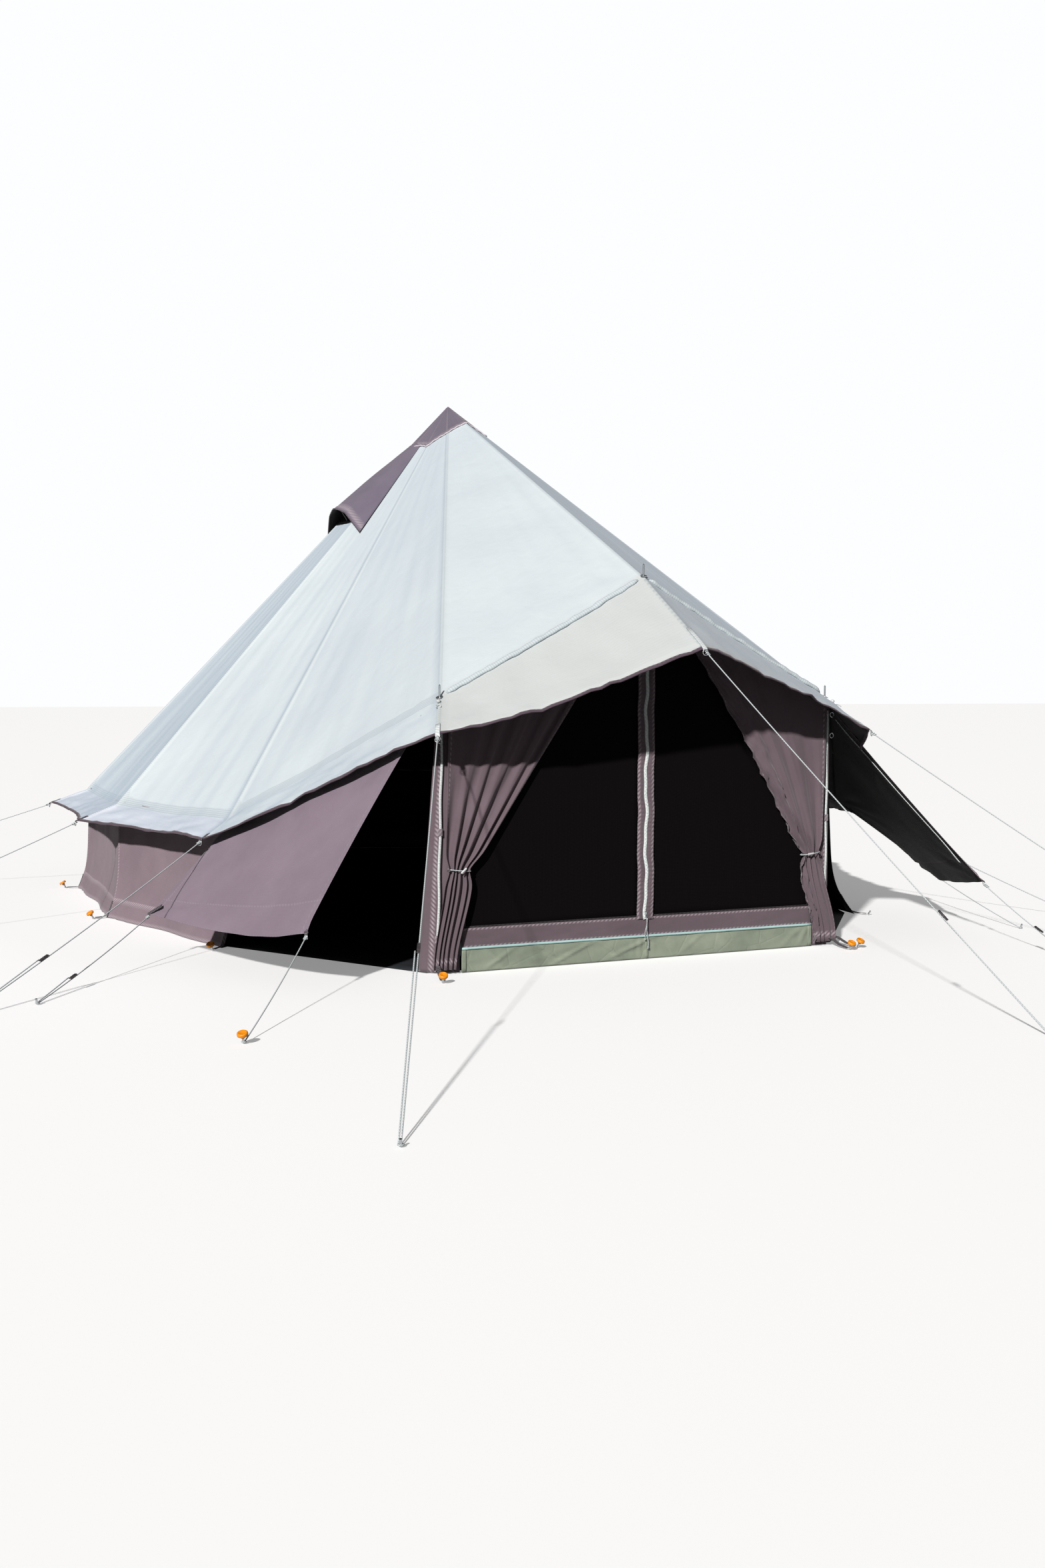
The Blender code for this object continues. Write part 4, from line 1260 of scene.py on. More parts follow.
# Each corner of the wall has a short webbing loop down to its own peg.
STRAP_WIDE, STRAP_THICK = 0.020, 0.0016
PEGGED_CORNERS = range(2, 11)
for corner in PEGGED_CORNERS:
    flat = ring_foot(corner).normalized()
    gore = min(corner, WALLED_GORES[-1])
    across = float(corner > gore)
    route = [wall_spot(gore, across, down, 0.0036) for down in (0.86, 0.91, 0.955, 0.985)]
    route += [ring_foot(corner, 0.085, 0.010), ring_foot(corner, 0.115, 0.009), ring_foot(corner, 0.132, 0.008)]
    facing = (flat + Vector((0, 0, 0.6))).normalized()
    loop = strap_mesh(f"wall_peg_strap_{corner}", route, facing, STRAP_WIDE, STRAP_THICK, WEBBING)
    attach(loop, "tent")

for corner in PEGGED_CORNERS:
    lean = ring_foot(corner).normalized() * 0.6
    ground_peg(f"wall_peg_{corner}", ring_foot(corner, 0.140), lean, "tent", headed=corner != HAULED_CORNER)
# The feet of the corner columns are strapped down to pegs in front of the door
DOOR_PEGS = {
    "left": (Vector((-1.010, -2.762, 0.045)), Vector((-1.043, -2.935, 0.0))),
    "right_near": (Vector((0.985, -2.765, 0.040)), Vector((1.005, -2.915, 0.0))),
    "right_far": (Vector((1.015, -2.757, 0.045)), Vector((1.075, -2.880, 0.0))),
}
for word, (start, foot) in DOOR_PEGS.items():
    flat = Vector((foot.x - start.x, foot.y - start.y, 0.0)).normalized()
    route = [start, start.lerp(foot, 0.25) + Vector((0, 0, 0.004)), start.lerp(foot, 0.55) - Vector((0, 0, 0.002))]
    route += [foot - flat * 0.030 + Vector((0, 0, 0.011)), foot - flat * 0.008 + Vector((0, 0, 0.009))]
    facing = Vector((0, -0.5, 1)).normalized()
    loop = strap_mesh(f"door_peg_strap_{word}", route, facing, STRAP_WIDE, STRAP_THICK, WEBBING)
    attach(loop, "tent")
    ground_peg(f"door_peg_{word}", foot, flat * 0.5, "tent")
for model in (peg_head, peg_neck):
    bpy.data.objects.remove(model)


# ---------------------------------------------------------------- groundsheet and threshold
# A coated groundsheet lies inside the walls, its top painted dark as the shade inside the tent. Its sage edge turns
# up at the door as a threshold with a pale piping, and a mauve sill is sewn above it.
def coated_vinyl(name, light, shade):
    """PVC-coated polyester: a soft even sheen, with long shallow creases from the pack.

    The scrim under the coating has threads 1 mm apart, drawn at 5 mm so that they show.
    """
    finish, tree, shader = new_finish(name, light, 0.5)
    shader.inputs["Coat Weight"].default_value = 0.12
    shader.inputs["Coat Roughness"].default_value = 0.4
    place = add_node(tree, "ShaderNodeTexCoord")
    chart = add_node(tree, "ShaderNodeUVMap", {"uv_map": "cloth"})
    cloud = add_node(
        tree, "ShaderNodeTexNoise", {"Scale": 5.0, "Detail": 6.0, "Roughness": 0.65},
        {"Vector": place.outputs["Object"]},
    )
    soft = add_node(tree, "ShaderNodeMapRange", {"From Min": 0.32, "From Max": 0.68}, {0: cloud.outputs[0]})
    tint = add_node(
        tree, "ShaderNodeMix", {"data_type": "RGBA", 6: linear(shade), 7: linear(light)}, {0: soft.outputs[0]}
    )
    tree.links.new(tint.outputs[2], shader.inputs["Base Color"])
    wear = add_node(tree, "ShaderNodeMapRange", {"To Min": 0.38, "To Max": 0.62}, {0: cloud.outputs[0]})
    tree.links.new(wear.outputs[0], shader.inputs["Roughness"])
    folds = add_node(
        tree, "ShaderNodeTexVoronoi", {"feature": "DISTANCE_TO_EDGE", "Scale": 7.0},
        {"Vector": place.outputs["Object"]},
    )
    crease = add_node(tree, "ShaderNodeMapRange", {"From Max": 0.04}, {0: folds.outputs["Distance"]})
    coarse = add_node(tree, "ShaderNodeBump", {"Strength": 0.35, "Distance": 0.002}, {"Height": crease.outputs[0]})
    scrim = add_node(
        tree, "ShaderNodeTexWave", {"bands_direction": "Y", "Scale": math.tau / 20 / 0.005},
        {"Vector": chart.outputs[0]},
    )
    bump = add_node(
        tree, "ShaderNodeBump", {"Strength": 0.12, "Distance": 0.0005},
        {"Height": scrim.outputs[1], "Normal": coarse.outputs["Normal"]},
    )
    tree.links.new(bump.outputs["Normal"], shader.inputs["Normal"])
    return finish


SAGE_VINYL = coated_vinyl("sage_coated_groundsheet", "#9CA491", "#828B7B")
# painted shade: the groundsheet's top is near-black to stand for the shade inside the tent; its underside and edge
# are the sage vinyl
GROUNDSHEET_TOP_SHADE = coated_vinyl("groundsheet_top_painted_shade", "#33363A", "#26292C")
floor_ring = [(0.0, -2.70), (1.04, -2.705)]
for number, corner in enumerate(WALL_CORNERS):
    place = plan_place(corner, 1, 0.020 if number == 0 else -0.02, 0.0)
    floor_ring.append((place.x, place.y))
floor_ring.append((0.0, 2.33))
floor_ring += [(-x, y) for x, y in floor_ring[1:6][::-1]]
# Its right front corner goes with the hauled foot of the wall
floor_ring[2] = (1.655, -1.935)
EDGE_STEPS, FLOOR_ROWS = 8, 26
floor_edge = []
for (x0, y0), (x1, y1) in zip(floor_ring, floor_ring[1:] + floor_ring[:1]):
    floor_edge += [
        Vector((x0 + (x1 - x0) * part / EDGE_STEPS, y0 + (y1 - y0) * part / EDGE_STEPS, 0.0))
        for part in range(EDGE_STEPS)
    ]
floor_rows = []
for reach in [0.010] + [0.05 + 0.95 * step / FLOOR_ROWS for step in range(FLOOR_ROWS + 1)]:
    row = []
    for place in floor_edge:
        spot = place * reach
        swell = 0.5 + 0.5 * noise.noise(Vector((spot.x * 3.0, spot.y * 3.0, 0.0)))
        spot.z = 0.0022 + (0.0045 * swell * min(1.0, reach * 3.0) if reach < 0.97 else 0.0)
        row.append(spot)
    floor_rows.append(row)
groundsheet, floor_area = cloth_sheet(
    "groundsheet_cloth", floor_rows, GROUNDSHEET_TOP_SHADE, 0.0012, Vector((0, 0, 1)), closed=True, inner=SAGE_VINYL
)
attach(groundsheet, "tent")
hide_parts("groundsheet")

FRONT_Y = -2.75
THRESHOLD_TOP = 0.108
SILL_TOP = 0.196
DOOR_HALF = 0.895
FORWARD = Vector((0, -1, 0))


def front_panel(name, half, low, high, y, ripple, finish, seed, sewn_at=(), lines=14, columns=110, creases=()):
    """A flat strip of the front wall between two heights, rippled front to back.

    Each crease is its place along the foot, its lean, its width and its depth.
    """
    rows, stitches = [], []
    for step in range(lines + 1):
        height = high + (low - high) * step / lines
        part = step / lines
        row, marks = [], []
        for column in range(columns + 1):
            x = -half + 2 * half * column / columns
            push = noise.noise(Vector((x * 4.0 + height * 9.0, height * 14.0, seed)))
            push += 0.6 * noise.noise(Vector((x * 9.0 - height * 20.0, height * 20.0, seed + 3.0)))
            left = 1.35 if x < 0 else 0.75
            calm = math.sin(math.pi * min(1.0, max(0.0, 0.06 + 0.94 * part)))
            gather = 0.35 * max(0.0, 1.0 - abs(x) / 0.10) * math.sin(x * 170.0)
            fold = 0.0
            for at, lean, keen, deep in creases:
                fold += deep * max(0.0, 1.0 - abs(x - at - lean * (height - low)) / keen)
            row.append(Vector((x, y - 0.0035 - ripple * left * calm * (push + gather) - calm * fold, height)))
            marks.append(0.8 if any(abs(part - at) < 0.5 / lines for at in sewn_at) else 0.0)
        rows.append(row)
        stitches.append(marks)
    return cloth_sheet(name, rows, finish, 0.0014, FORWARD, marks={"stitch": stitches})


threshold, _ = front_panel(
    "threshold_strip", DOOR_HALF, 0.0015, THRESHOLD_TOP, FRONT_Y - 0.0035, 0.0045, SAGE_VINYL, 2.0,
    columns=220,
    creases=(
        (-0.80, 1.6, 0.020, 0.007), (-0.66, -1.3, 0.030, 0.006), (-0.48, 2.2, 0.026, 0.009),
        (-0.36, -1.8, 0.022, 0.007), (-0.22, 2.6, 0.030, 0.010), (-0.10, -1.4, 0.024, 0.007),
        (0.16, 1.4, 0.026, 0.004), (0.46, -0.9, 0.040, 0.003), (0.72, 1.2, 0.030, 0.004), (0.82, 0.5, 0.020, 0.005),
    ),
)
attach(threshold, "tent")
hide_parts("threshold")
sill, _ = front_panel(
    "sill_cloth", DOOR_HALF, THRESHOLD_TOP, SILL_TOP, FRONT_Y, 0.0022, DOOR_MAUVE, 7.0, sewn_at=(0.08, 0.93)
)
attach(sill, "tent")
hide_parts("sill")

CYAN_PIPING = woven_cloth("pale_cyan_piping", "#BFE0DD", "#ABD0CD", 0.003, 0.6, "#D8F0EE")
piping_line = []
for step in range(61):
    depth = FRONT_Y - 0.0085 - 0.001 * math.sin(step * 0.9)
    piping_line.append(Vector((-DOOR_HALF + 2 * DOOR_HALF * step / 60, depth, THRESHOLD_TOP - 0.001)))
threshold_piping = tube_mesh("threshold_piping", piping_line, 0.0058, 8, CYAN_PIPING)
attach(threshold_piping, "tent")
threshold_seam = strap_mesh(
    "threshold_seam_tape",
    [Vector((0.006, FRONT_Y - 0.0095, 0.104 - 0.102 * step / 6)) for step in range(7)],
    FORWARD, 0.014, 0.0012, SAGE_VINYL, stitched=False,
)
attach(threshold_seam, "tent")
for word, side in (("left", -1), ("right", 1)):
    route = [Vector((side * (DOOR_HALF - 0.010), FRONT_Y - 0.0085, 0.003 + 0.101 * step / 5)) for step in range(6)]
    ending = strap_mesh(f"threshold_end_{word}", route, FORWARD, 0.020, 0.0014, SAGE_VINYL, stitched=False)
    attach(ending, "tent")


# ---------------------------------------------------------------- mesh doors and their zip
# Two leaves of black insect netting close the front inside the curtains. They meet at a
# white coil zip between two gathered mauve tapes, with a slider and two cord pulls.
DOOR_PEAK = 1.75
DOOR_FALL = 0.55 / 0.98


def under_eave(x, gap):
    """Height of the front edge of the roof over a place along the front, less a gap."""
    return DOOR_PEAK - DOOR_FALL * abs(x) - gap


LEAF_OUTER, LEAF_INNER = 0.893, 0.022
LEAF_FOOT = 0.186
for word, side in (("left", -1), ("right", 1)):
    rows = []
    for step in range(31):
        part = step / 30
        row = []
        for column in range(25):
            x = LEAF_INNER + (LEAF_OUTER - LEAF_INNER) * column / 24
            high = under_eave(x, 0.052)
            z = high + (LEAF_FOOT - high) * part
            bow = math.sin(math.pi * part) * math.sin(math.pi * column / 24)
            ripple = 0.0012 * noise.noise(Vector((x * 5.0, z * 5.0, side * 3.0)))
            row.append(Vector((side * x, FRONT_Y + 0.0052 - 0.0012 * bow + ripple, z)))
        rows.append(row)
    leaf, leaf_area = cloth_sheet(f"netting_leaf_{word}", rows, INSECT_MESH, 0.0008, FORWARD)
    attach(leaf, f"mesh_{word}")
    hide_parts(f"mesh_door_{word}")
    tape_routes = {
        "foot": [rows[-1][column] + Vector((0, -0.0012, 0.008)) for column in range(0, 25, 3)],
        "edge": [rows[row][24] + Vector((-side * 0.010, -0.0012, 0)) for row in range(0, 31, 3)],
    }
    for label, route in tape_routes.items():
        tape = strap_mesh(f"leaf_{label}_tape_{word}", route, FORWARD, 0.018, 0.0012, DARK_TAPE_AND_SHADE_CLOTH)
        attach(tape, f"mesh_{word}")

ZIP_LOW, ZIP_HIGH = 0.184, 1.655
ZIP_HALF = 0.042
GATHER = 0.017


def zip_sway(height):
    """How far the zip wanders sideways at a height, because its tapes are gathered."""
    return 0.0045 * math.sin(height * 21.0) + 0.0022 * math.sin(height * 47.0 + 1.0)


ZIP_LINES = 250
rows, stitches = [], []
for step in range(ZIP_LINES + 1):
    height = ZIP_HIGH + (ZIP_LOW - ZIP_HIGH) * step / ZIP_LINES
    row, marks = [], []
    for share in (-1.0, -0.90, -0.80, -0.62, -0.45, -0.28, -0.20, 0.20, 0.28, 0.45, 0.62, 0.80, 0.90, 1.0):
        away = abs(share)
        pull = math.sin(math.tau * height / GATHER + 1.7 * math.sin(height * 31.0 + (3.0 if share > 0 else 0.0)))
        pull *= 0.5 + 0.5 * noise.noise(Vector((height * 40.0, share, 4.0)))
        deep = 0.0034 * math.sin(math.pi * min(1.0, max(0.0, (away - 0.2) / 0.7))) + 0.0006
        x = share * ZIP_HALF + zip_sway(height) * (0.35 + 0.65 * (1.0 - away)) + 0.0012 * pull * (away > 0.95)
        row.append(Vector((x, FRONT_Y - 0.0072 - deep * (0.6 + pull), height)))
        marks.append(0.8 if 0.78 < away < 0.92 else 0.0)
    rows.append(row)
    stitches.append(marks)
zip_flap, _ = cloth_sheet(
    "zip_gathered_tapes", rows, DOOR_MAUVE, 0.0010, FORWARD, marks={"stitch": stitches}
)
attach(zip_flap, "tent")
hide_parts("door_zip")

ZIP_TAPE = woven_cloth("white_zip_tape", "#DCE3E1", "#C9D2D0", 0.004, 0.7, "#F2F5F4", 0.1)
ZIP_COIL = moulded_nylon("white_nylon_coil", "#EEF2F1", "#FFFFFF", 0.35)


def zip_run(name, route, facing, body, tape_wide=0.017, pitch=0.0075, halves=(-1, 1)):
    """A coil zip along a route: a flat tape with a row of teeth on each closed half.

    Real teeth repeat every 1.5 mm. They are made at the pitch given so that they show.
    """
    run = route_length(route)
    tape = strap_mesh(name + "_tape", route, facing, tape_wide, 0.0009, ZIP_TAPE)
    shape = bmesh.new()
    count = int(run / pitch)
    passed = 0.0
    spot = 0
    for tooth in range(count):
        at = (tooth + 0.5) * pitch
        while spot < len(route) - 2 and passed + (route[spot + 1] - route[spot]).length < at:
            passed += (route[spot + 1] - route[spot]).length
            spot += 1
        along = (route[spot + 1] - route[spot]).normalized()
        place = route[spot] + along * (at - passed)
        side = along.cross(facing).normalized()
        out = side.cross(along).normalized()
        half = halves[tooth % len(halves)]
        middle = place + out * 0.0018 + side * half * 0.0012
        made = bmesh.ops.create_cube(shape, size=1.0)["verts"]
        tooth_shape = Matrix((
            (*(side * 0.0065), 0.0), (*(along * pitch * 0.62), 0.0), (*(out * 0.0022), 0.0), (0, 0, 0, 1)
        )).transposed()
        bmesh.ops.transform(shape, matrix=Matrix.Translation(middle) @ tooth_shape, verts=made)
    bmesh.ops.recalc_face_normals(shape, faces=shape.faces)
    data = bpy.data.meshes.new(name + "_coil")
    shape.to_mesh(data)
    shape.free()
    data.materials.append(ZIP_COIL)
    coil = link_object(name + "_coil", data)
    for part in (tape, coil):
        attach(part, body)


zip_heights = [ZIP_HIGH + (ZIP_LOW - ZIP_HIGH) * step / 160 for step in range(161)]
zip_route = [Vector((zip_sway(height), FRONT_Y - 0.0095, height)) for height in zip_heights]
zip_run("door_zip", zip_route, FORWARD, "tent")


# ---------------------------------------------------------------- zip slider
# A cast metal slider with a hinged pull, and a cord tail knotted to it on each face.
slider_low, slider_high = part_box("zip_slider")
SLIDER_MIDDLE = (slider_low + slider_high) / 2
bpy.ops.mesh.primitive_cube_add(size=1.0, location=(0, 0, 0))
slider_body = bpy.context.object
slider_body.data.transform(Matrix.Diagonal((0.0115, 0.0062, 0.0165, 1.0)))
select_faces(slider_body, lambda face: face.normal.z > 0.9)
bpy.ops.transform.resize(value=(1.25, 1.0, 1.0))
select_faces(slider_body, lambda face: face.normal.z < -0.9)
bpy.ops.transform.resize(value=(0.8, 0.9, 1.0))
select_faces(slider_body, lambda face: face.normal.y < -0.9)
bpy.ops.mesh.inset(thickness=0.0022)
bpy.ops.mesh.extrude_region_move(TRANSFORM_OT_translate={"value": (0, -0.0016, 0)})
bpy.ops.transform.resize(value=(0.6, 1.0, 0.5))
slider_body = finish_piece(slider_body, "slider_body", STEEL_WIRE, 0.0007)
slider_body.data.transform(Matrix.Translation(SLIDER_MIDDLE + Vector((0, 0.0008, 0.004))))
pull_route = hoop(SLIDER_MIDDLE + Vector((0, -0.0038, -0.009)), Vector((0, 0, 0.012)), Vector((0.0042, 0, 0)), 16)
pull_loop = tube_mesh("slider_pull", pull_route, 0.0011, 6, STEEL_WIRE, closed=True)
slider = join_pieces([slider_body, pull_loop], "zip_slider_cast")
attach(slider, "slider")
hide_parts("zip_slider")
PULL_CORD_ROUND = 0.0016
for number, (lean, long) in enumerate(((-0.008, 0.095), (0.006, 0.135))):
    start = SLIDER_MIDDLE + Vector((0.001 * number, -0.0052, -0.019))
    tail_route = []
    for step in range(13):
        part = step / 12
        wander = lean * part + 0.003 * math.sin(part * 7.0 + number * 2)
        tail_route.append(start + Vector((wander, -0.002 - 0.003 * math.sin(part * math.pi), -long * part)))
    tail = tube_mesh(f"pull_cord_{number}", tail_route, PULL_CORD_ROUND, 6, ROPE_FINISH)
    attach(tail, "slider")
    knot_route = []
    for step in range(21):
        swing = math.tau * 2 * step / 20
        knot_route.append(tail_route[-1] + Vector((
            0.0026 * math.cos(swing), 0.0026 * math.sin(swing), -0.008 + 0.010 * step / 20
        )))
    stop = tube_mesh(f"pull_knot_{number}", knot_route, PULL_CORD_ROUND, 6, ROPE_FINISH)
    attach(stop, "slider")


# ---------------------------------------------------------------- door curtains
# Each half of the cloth door hangs from the front seam of the roof, drawn aside into
# deep pleats and held against the door pole by a cord and toggle, loose below it. A near-black
# strip at its head fills the gap under the roof as painted shade.
CURTAIN_Y = FRONT_Y - 0.027
TIE_HEIGHT = 0.455
TIE_DOWN = 0.72
CURTAIN_FOOT = 0.022
CURTAIN_TOP_INNER, CURTAIN_TOP_OUTER = 0.060, 0.957
CURTAIN_SHAPE = {
    # side, fold count, fold depth, slack of the inner edge, phase, reach of the tie and of the foot
    "left": (-1, 5.0, 0.0150, 0.012, 0.0, (0.848, 0.976), (0.925, 1.030)),
    "right": (1, 4.0, 0.0130, 0.036, 2.6, (0.810, 0.930), (0.900, 1.020)),
}


def curtain_spot(side, count, deep, slack, phase, tie, foot, across, down):
    """A place on a drawn curtain: across from inner to outer edge, down from its top (0) to its foot (1)."""
    top_x = CURTAIN_TOP_INNER + (CURTAIN_TOP_OUTER - CURTAIN_TOP_INNER) * across
    top_z = under_eave(top_x, 0.060)
    tie_x = tie[0] + (tie[1] - tie[0]) * across
    foot_x = foot[0] + (foot[1] - foot[0]) * across
    waist = (tie[0] + tie[1]) / 2
    if down < TIE_DOWN:
        part = down / TIE_DOWN
        x = top_x + (tie_x - top_x) * part
        z = top_z + (TIE_HEIGHT - top_z) * part
        x += slack * math.sin(math.pi * part) * (1.0 - across) * (1.0 if side > 0 else -0.3)
        gather = part ** 1.3
        middle = waist
        strength = 0.10 + 0.90 * part ** 1.1
    else:
        part = (down - TIE_DOWN) / (1.0 - TIE_DOWN)
        ease = part * part * (3 - 2 * part)
        x = tie_x + (foot_x - tie_x) * ease
        z = TIE_HEIGHT + (CURTAIN_FOOT - TIE_HEIGHT) * part
        gather = 1.0
        middle = (foot[0] + foot[1]) / 2 * ease + waist * (1 - ease)
        strength = 1.0 - 0.50 * part ** 0.6
    pinch = 1.0 - 0.28 * math.exp(-((z - TIE_HEIGHT) / 0.045) ** 2)
    middle = x * (1 - gather) + middle * gather
    x = middle + (x - middle) * (pinch if gather > 0.6 else 1.0)
    warp = across + 0.035 * math.sin(across * 9.0 + phase)
    warp += 0.02 * noise.noise(Vector((across * 4.0, down * 3.0, side * 5.0 + phase)))
    wave = math.sin(math.tau * count * warp + phase)
    wave = math.copysign(abs(wave) ** 0.8, wave)
    fold = deep * strength * wave * pinch
    fine = 0.0045 * noise.noise(Vector((across * 17.0, down * 5.0, 8.0 + phase))) * min(1.0, down * 4.0)
    crush = 0.0
    if side > 0:
        near_edge = max(0.0, 1.0 - across / 0.42) ** 0.7
        bunch = noise.noise(Vector((down * 30.0 + across * 8.0, across * 7.0, 1.5)))
        bunch += 0.6 * noise.noise(Vector((down * 55.0 - across * 14.0, across * 12.0, 6.5)))
        crush = 0.017 * near_edge * bunch * min(1.0, down * 2.2)
    calm = min(1.0, down / 0.05)
    x += calm * crush * 0.7
    return Vector((side * x, CURTAIN_Y - calm * (fold + fine + crush) * 0.97, z))


CURTAIN_COLUMNS, CURTAIN_ROWS = 150, 84
for word, (side, count, deep, slack, phase, tie, foot) in CURTAIN_SHAPE.items():
    rows, stitches = [], []
    for step in range(CURTAIN_ROWS + 1):
        down = step / CURTAIN_ROWS
        rows.append([
            curtain_spot(side, count, deep, slack, phase, tie, foot, column / CURTAIN_COLUMNS, down)
            for column in range(CURTAIN_COLUMNS + 1)
        ])
        stitches.append([
            0.8 if column in (3, CURTAIN_COLUMNS - 3) or step == CURTAIN_ROWS - 2 else 0.0
            for column in range(CURTAIN_COLUMNS + 1)
        ])
    curtain, curtain_area = cloth_sheet(
        f"door_curtain_{word}", rows, DOOR_MAUVE, 0.0011, FORWARD, marks={"stitch": stitches}
    )
    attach(curtain, "tent")
    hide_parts(f"curtain_{word}")
    middle = Vector((side * (tie[0] + tie[1]) / 2, CURTAIN_Y - 0.001, TIE_HEIGHT))
    tie_route = hoop(middle, Vector((0.052, 0, 0.006 * side)), Vector((0, 0.0215, 0)), 40)
    tie_cord = tube_mesh(f"curtain_tie_{word}", tie_route, 0.0022, 8, ROPE_FINISH, closed=True)
    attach(tie_cord, "tent")
    band_route = [
        middle + Vector((side * (0.044 + 0.012 * step / 4), -0.008 - 0.004 * math.sin(step), 0.002))
        for step in range(5)
    ]
    band = strap_mesh(f"curtain_band_{word}", band_route, FORWARD, 0.012, 0.0015, WEBBING)
    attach(band, "tent")
    bpy.ops.mesh.primitive_cylinder_add(vertices=14, radius=0.0048, depth=0.030, location=(0, 0, 0))
    toggle = bpy.context.object
    select_faces(toggle, lambda face: abs(face.normal.z) > 0.9)
    bpy.ops.mesh.inset(thickness=0.0016)
    bpy.ops.transform.resize(value=(1.0, 1.0, 1.12))
    toggle = finish_piece(toggle, f"curtain_toggle_{word}", PALE_NYLON, 0.0006)
    toggle.data.transform(
        Matrix.Translation(middle + Vector((-side * 0.012, -0.026, 0.0)))
        @ Matrix.Rotation(math.radians(18.0 * side), 4, "Y") @ Matrix.Rotation(math.radians(65.0), 4, "Y")
    )
    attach(toggle, "tent")
    lintel_rows = []
    for step in range(4):
        row = []
        for column in range(25):
            x = 0.006 + 0.985 * column / 24
            height = under_eave(x, 0.062 - 0.030 * step / 3)
            row.append(Vector((side * x, FRONT_Y + 0.003 + 0.008 * step / 3, height)))
        lintel_rows.append(row)
    # painted shade: the strip is near-black, standing for the shade under the front of the roof
    lintel, _ = cloth_sheet(f"door_head_{word}", lintel_rows, DARK_TAPE_AND_SHADE_CLOTH, 0.0010, FORWARD)
    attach(lintel, "tent")


# ---------------------------------------------------------------- corner columns
# A narrow mauve panel runs down in front of each side door pole, between the front and
# the side doorway. It carries half of the side-door zip and hook-and-loop tabs.
HOOK_TAPE = woven_cloth("grey_hook_and_loop_tape", "#8F8187", "#7D7076", 0.003, 0.95, "#A59AA0", 0.5)
COLUMN_INNER = 0.902
COLUMN_ROWS = 70
COLUMN_SHAPE = {
    # side, outer edge, spread of the foot, place of the zip, its lean and the shift of the tabs
    "left": (-1, 1.004, 0.060, 0.980, 0.024, 0.0),
    "right": (1, 0.986, 0.0, 0.972, 0.0, -0.016),
}
for word, (side, outer_x, foot_spread, zip_x, zip_lean, tab_shift) in COLUMN_SHAPE.items():
    rows, stitches = [], []
    for step in range(COLUMN_ROWS + 1):
        part = step / COLUMN_ROWS
        row, marks = [], []
        for column in range(13):
            share = column / 12
            x = COLUMN_INNER + (outer_x - COLUMN_INNER) * share
            high = under_eave(x, 0.045)
            z = high + (0.003 - high) * part
            ripple = 0.0030 * noise.noise(Vector((x * 22.0, z * 6.0, side * 9.0)))
            ripple *= math.sin(math.pi * min(1.0, 0.1 + part))
            spread = foot_spread * part * share
            wrap = 1.45 * spread * max(0.0, share - 0.35) / 0.65
            row.append(Vector((side * (x + spread), FRONT_Y - 0.0012 - abs(ripple) + wrap, z)))
            marks.append(0.9 if column in (2, 9) else 0.0)
        rows.append(row)
        stitches.append(marks)
    column_cloth, _ = cloth_sheet(
        f"column_cloth_{word}", rows, DOOR_MAUVE, 0.0012, FORWARD, marks={"stitch": stitches}
    )
    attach(column_cloth, "tent")
    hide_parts(f"corner_column_{word}")
    high = under_eave(0.985, 0.060)
    half_zip = []
    for step in range(61):
        x = zip_x + zip_lean * step / 60 + 0.002 * math.sin(step * 0.35)
        half_zip.append(Vector((side * x, FRONT_Y - 0.0062, high + (0.13 - high) * step / 60)))
    zip_run(f"side_door_zip_{word}", half_zip, FORWARD, "tent", tape_wide=0.012, halves=(1,))
    for number, height in enumerate((0.62, 0.155, 0.030)):
        shift = tab_shift + zip_lean * (1.0 - height)
        route = [Vector((side * (0.972 + shift + 0.026 * step / 3), FRONT_Y - 0.0078, height)) for step in range(4)]
        tab = strap_mesh(f"hook_tab_{word}_{number}", route, FORWARD, 0.034, 0.0014, HOOK_TAPE)
        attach(tab, "tent")
    for number, height in enumerate((0.0, 0.10)):
        ring_middle = Vector((side * 0.994, FRONT_Y - 0.012, under_eave(0.994, 0.075) - height))
        ring_route = hoop(ring_middle, Vector((0.010, 0, 0)), Vector((0, 0, 0.012)), 16)
        ring_route = [place + Vector((0, 0.0015 * math.sin(step), 0)) for step, place in enumerate(ring_route)]
        ring = tube_mesh(f"column_ring_{word}_{number}", ring_route, 0.0014, 6, STEEL_WIRE, closed=True)
        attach(ring, "tent")


# ---------------------------------------------------------------- side-door panels
# Each side doorway has a mauve panel, hemmed all round, that hangs from the roof and is
# guyed out by its two low corners as an awning. Half of its zip runs down the tall edge.
# painted reflection: the panels' mauve is shifted towards lavender, standing for the sky's sheen on their upper faces
PANEL_MAUVE_SKY_TINT = woven_cloth("mauve_polyester_painted_sky_tint", "#8C7C89", "#80707E", 0.006, 0.78, "#A093A0", 0.35)
# painted shade: a near-black copy of the panels' mauve cloth for their underside, standing for the shade under the
# raised panels
PANEL_UNDERSIDE_SHADE = woven_cloth("mauve_polyester_underside_painted_shade", "#181415", "#110E0F", 0.006, 0.9, "#5E5358", 0.03)
PANELS = {
    # side, droop, then the four corners: top and foot of the tall edge, top and foot of the short edge
    "left": (
        -1, 0.038, (-1.0218, -2.6999, 1.1530), (-1.6420, -3.0123, 0.2616),
        (-1.7051, -1.7571, 0.6110), (-2.1169, -1.9388, 0.2143),
    ),
    "right": (
        1, 0.050, (1.0218, -2.6999, 1.1530), (1.6959, -3.0255, 0.3066),
        (1.7051, -1.7571, 0.6110), (2.1539, -1.9407, 0.2576),
    ),
}
PANEL_HEM = 0.032
PANEL_FOOT_HEM = 0.125
PANEL_STEPS = 44
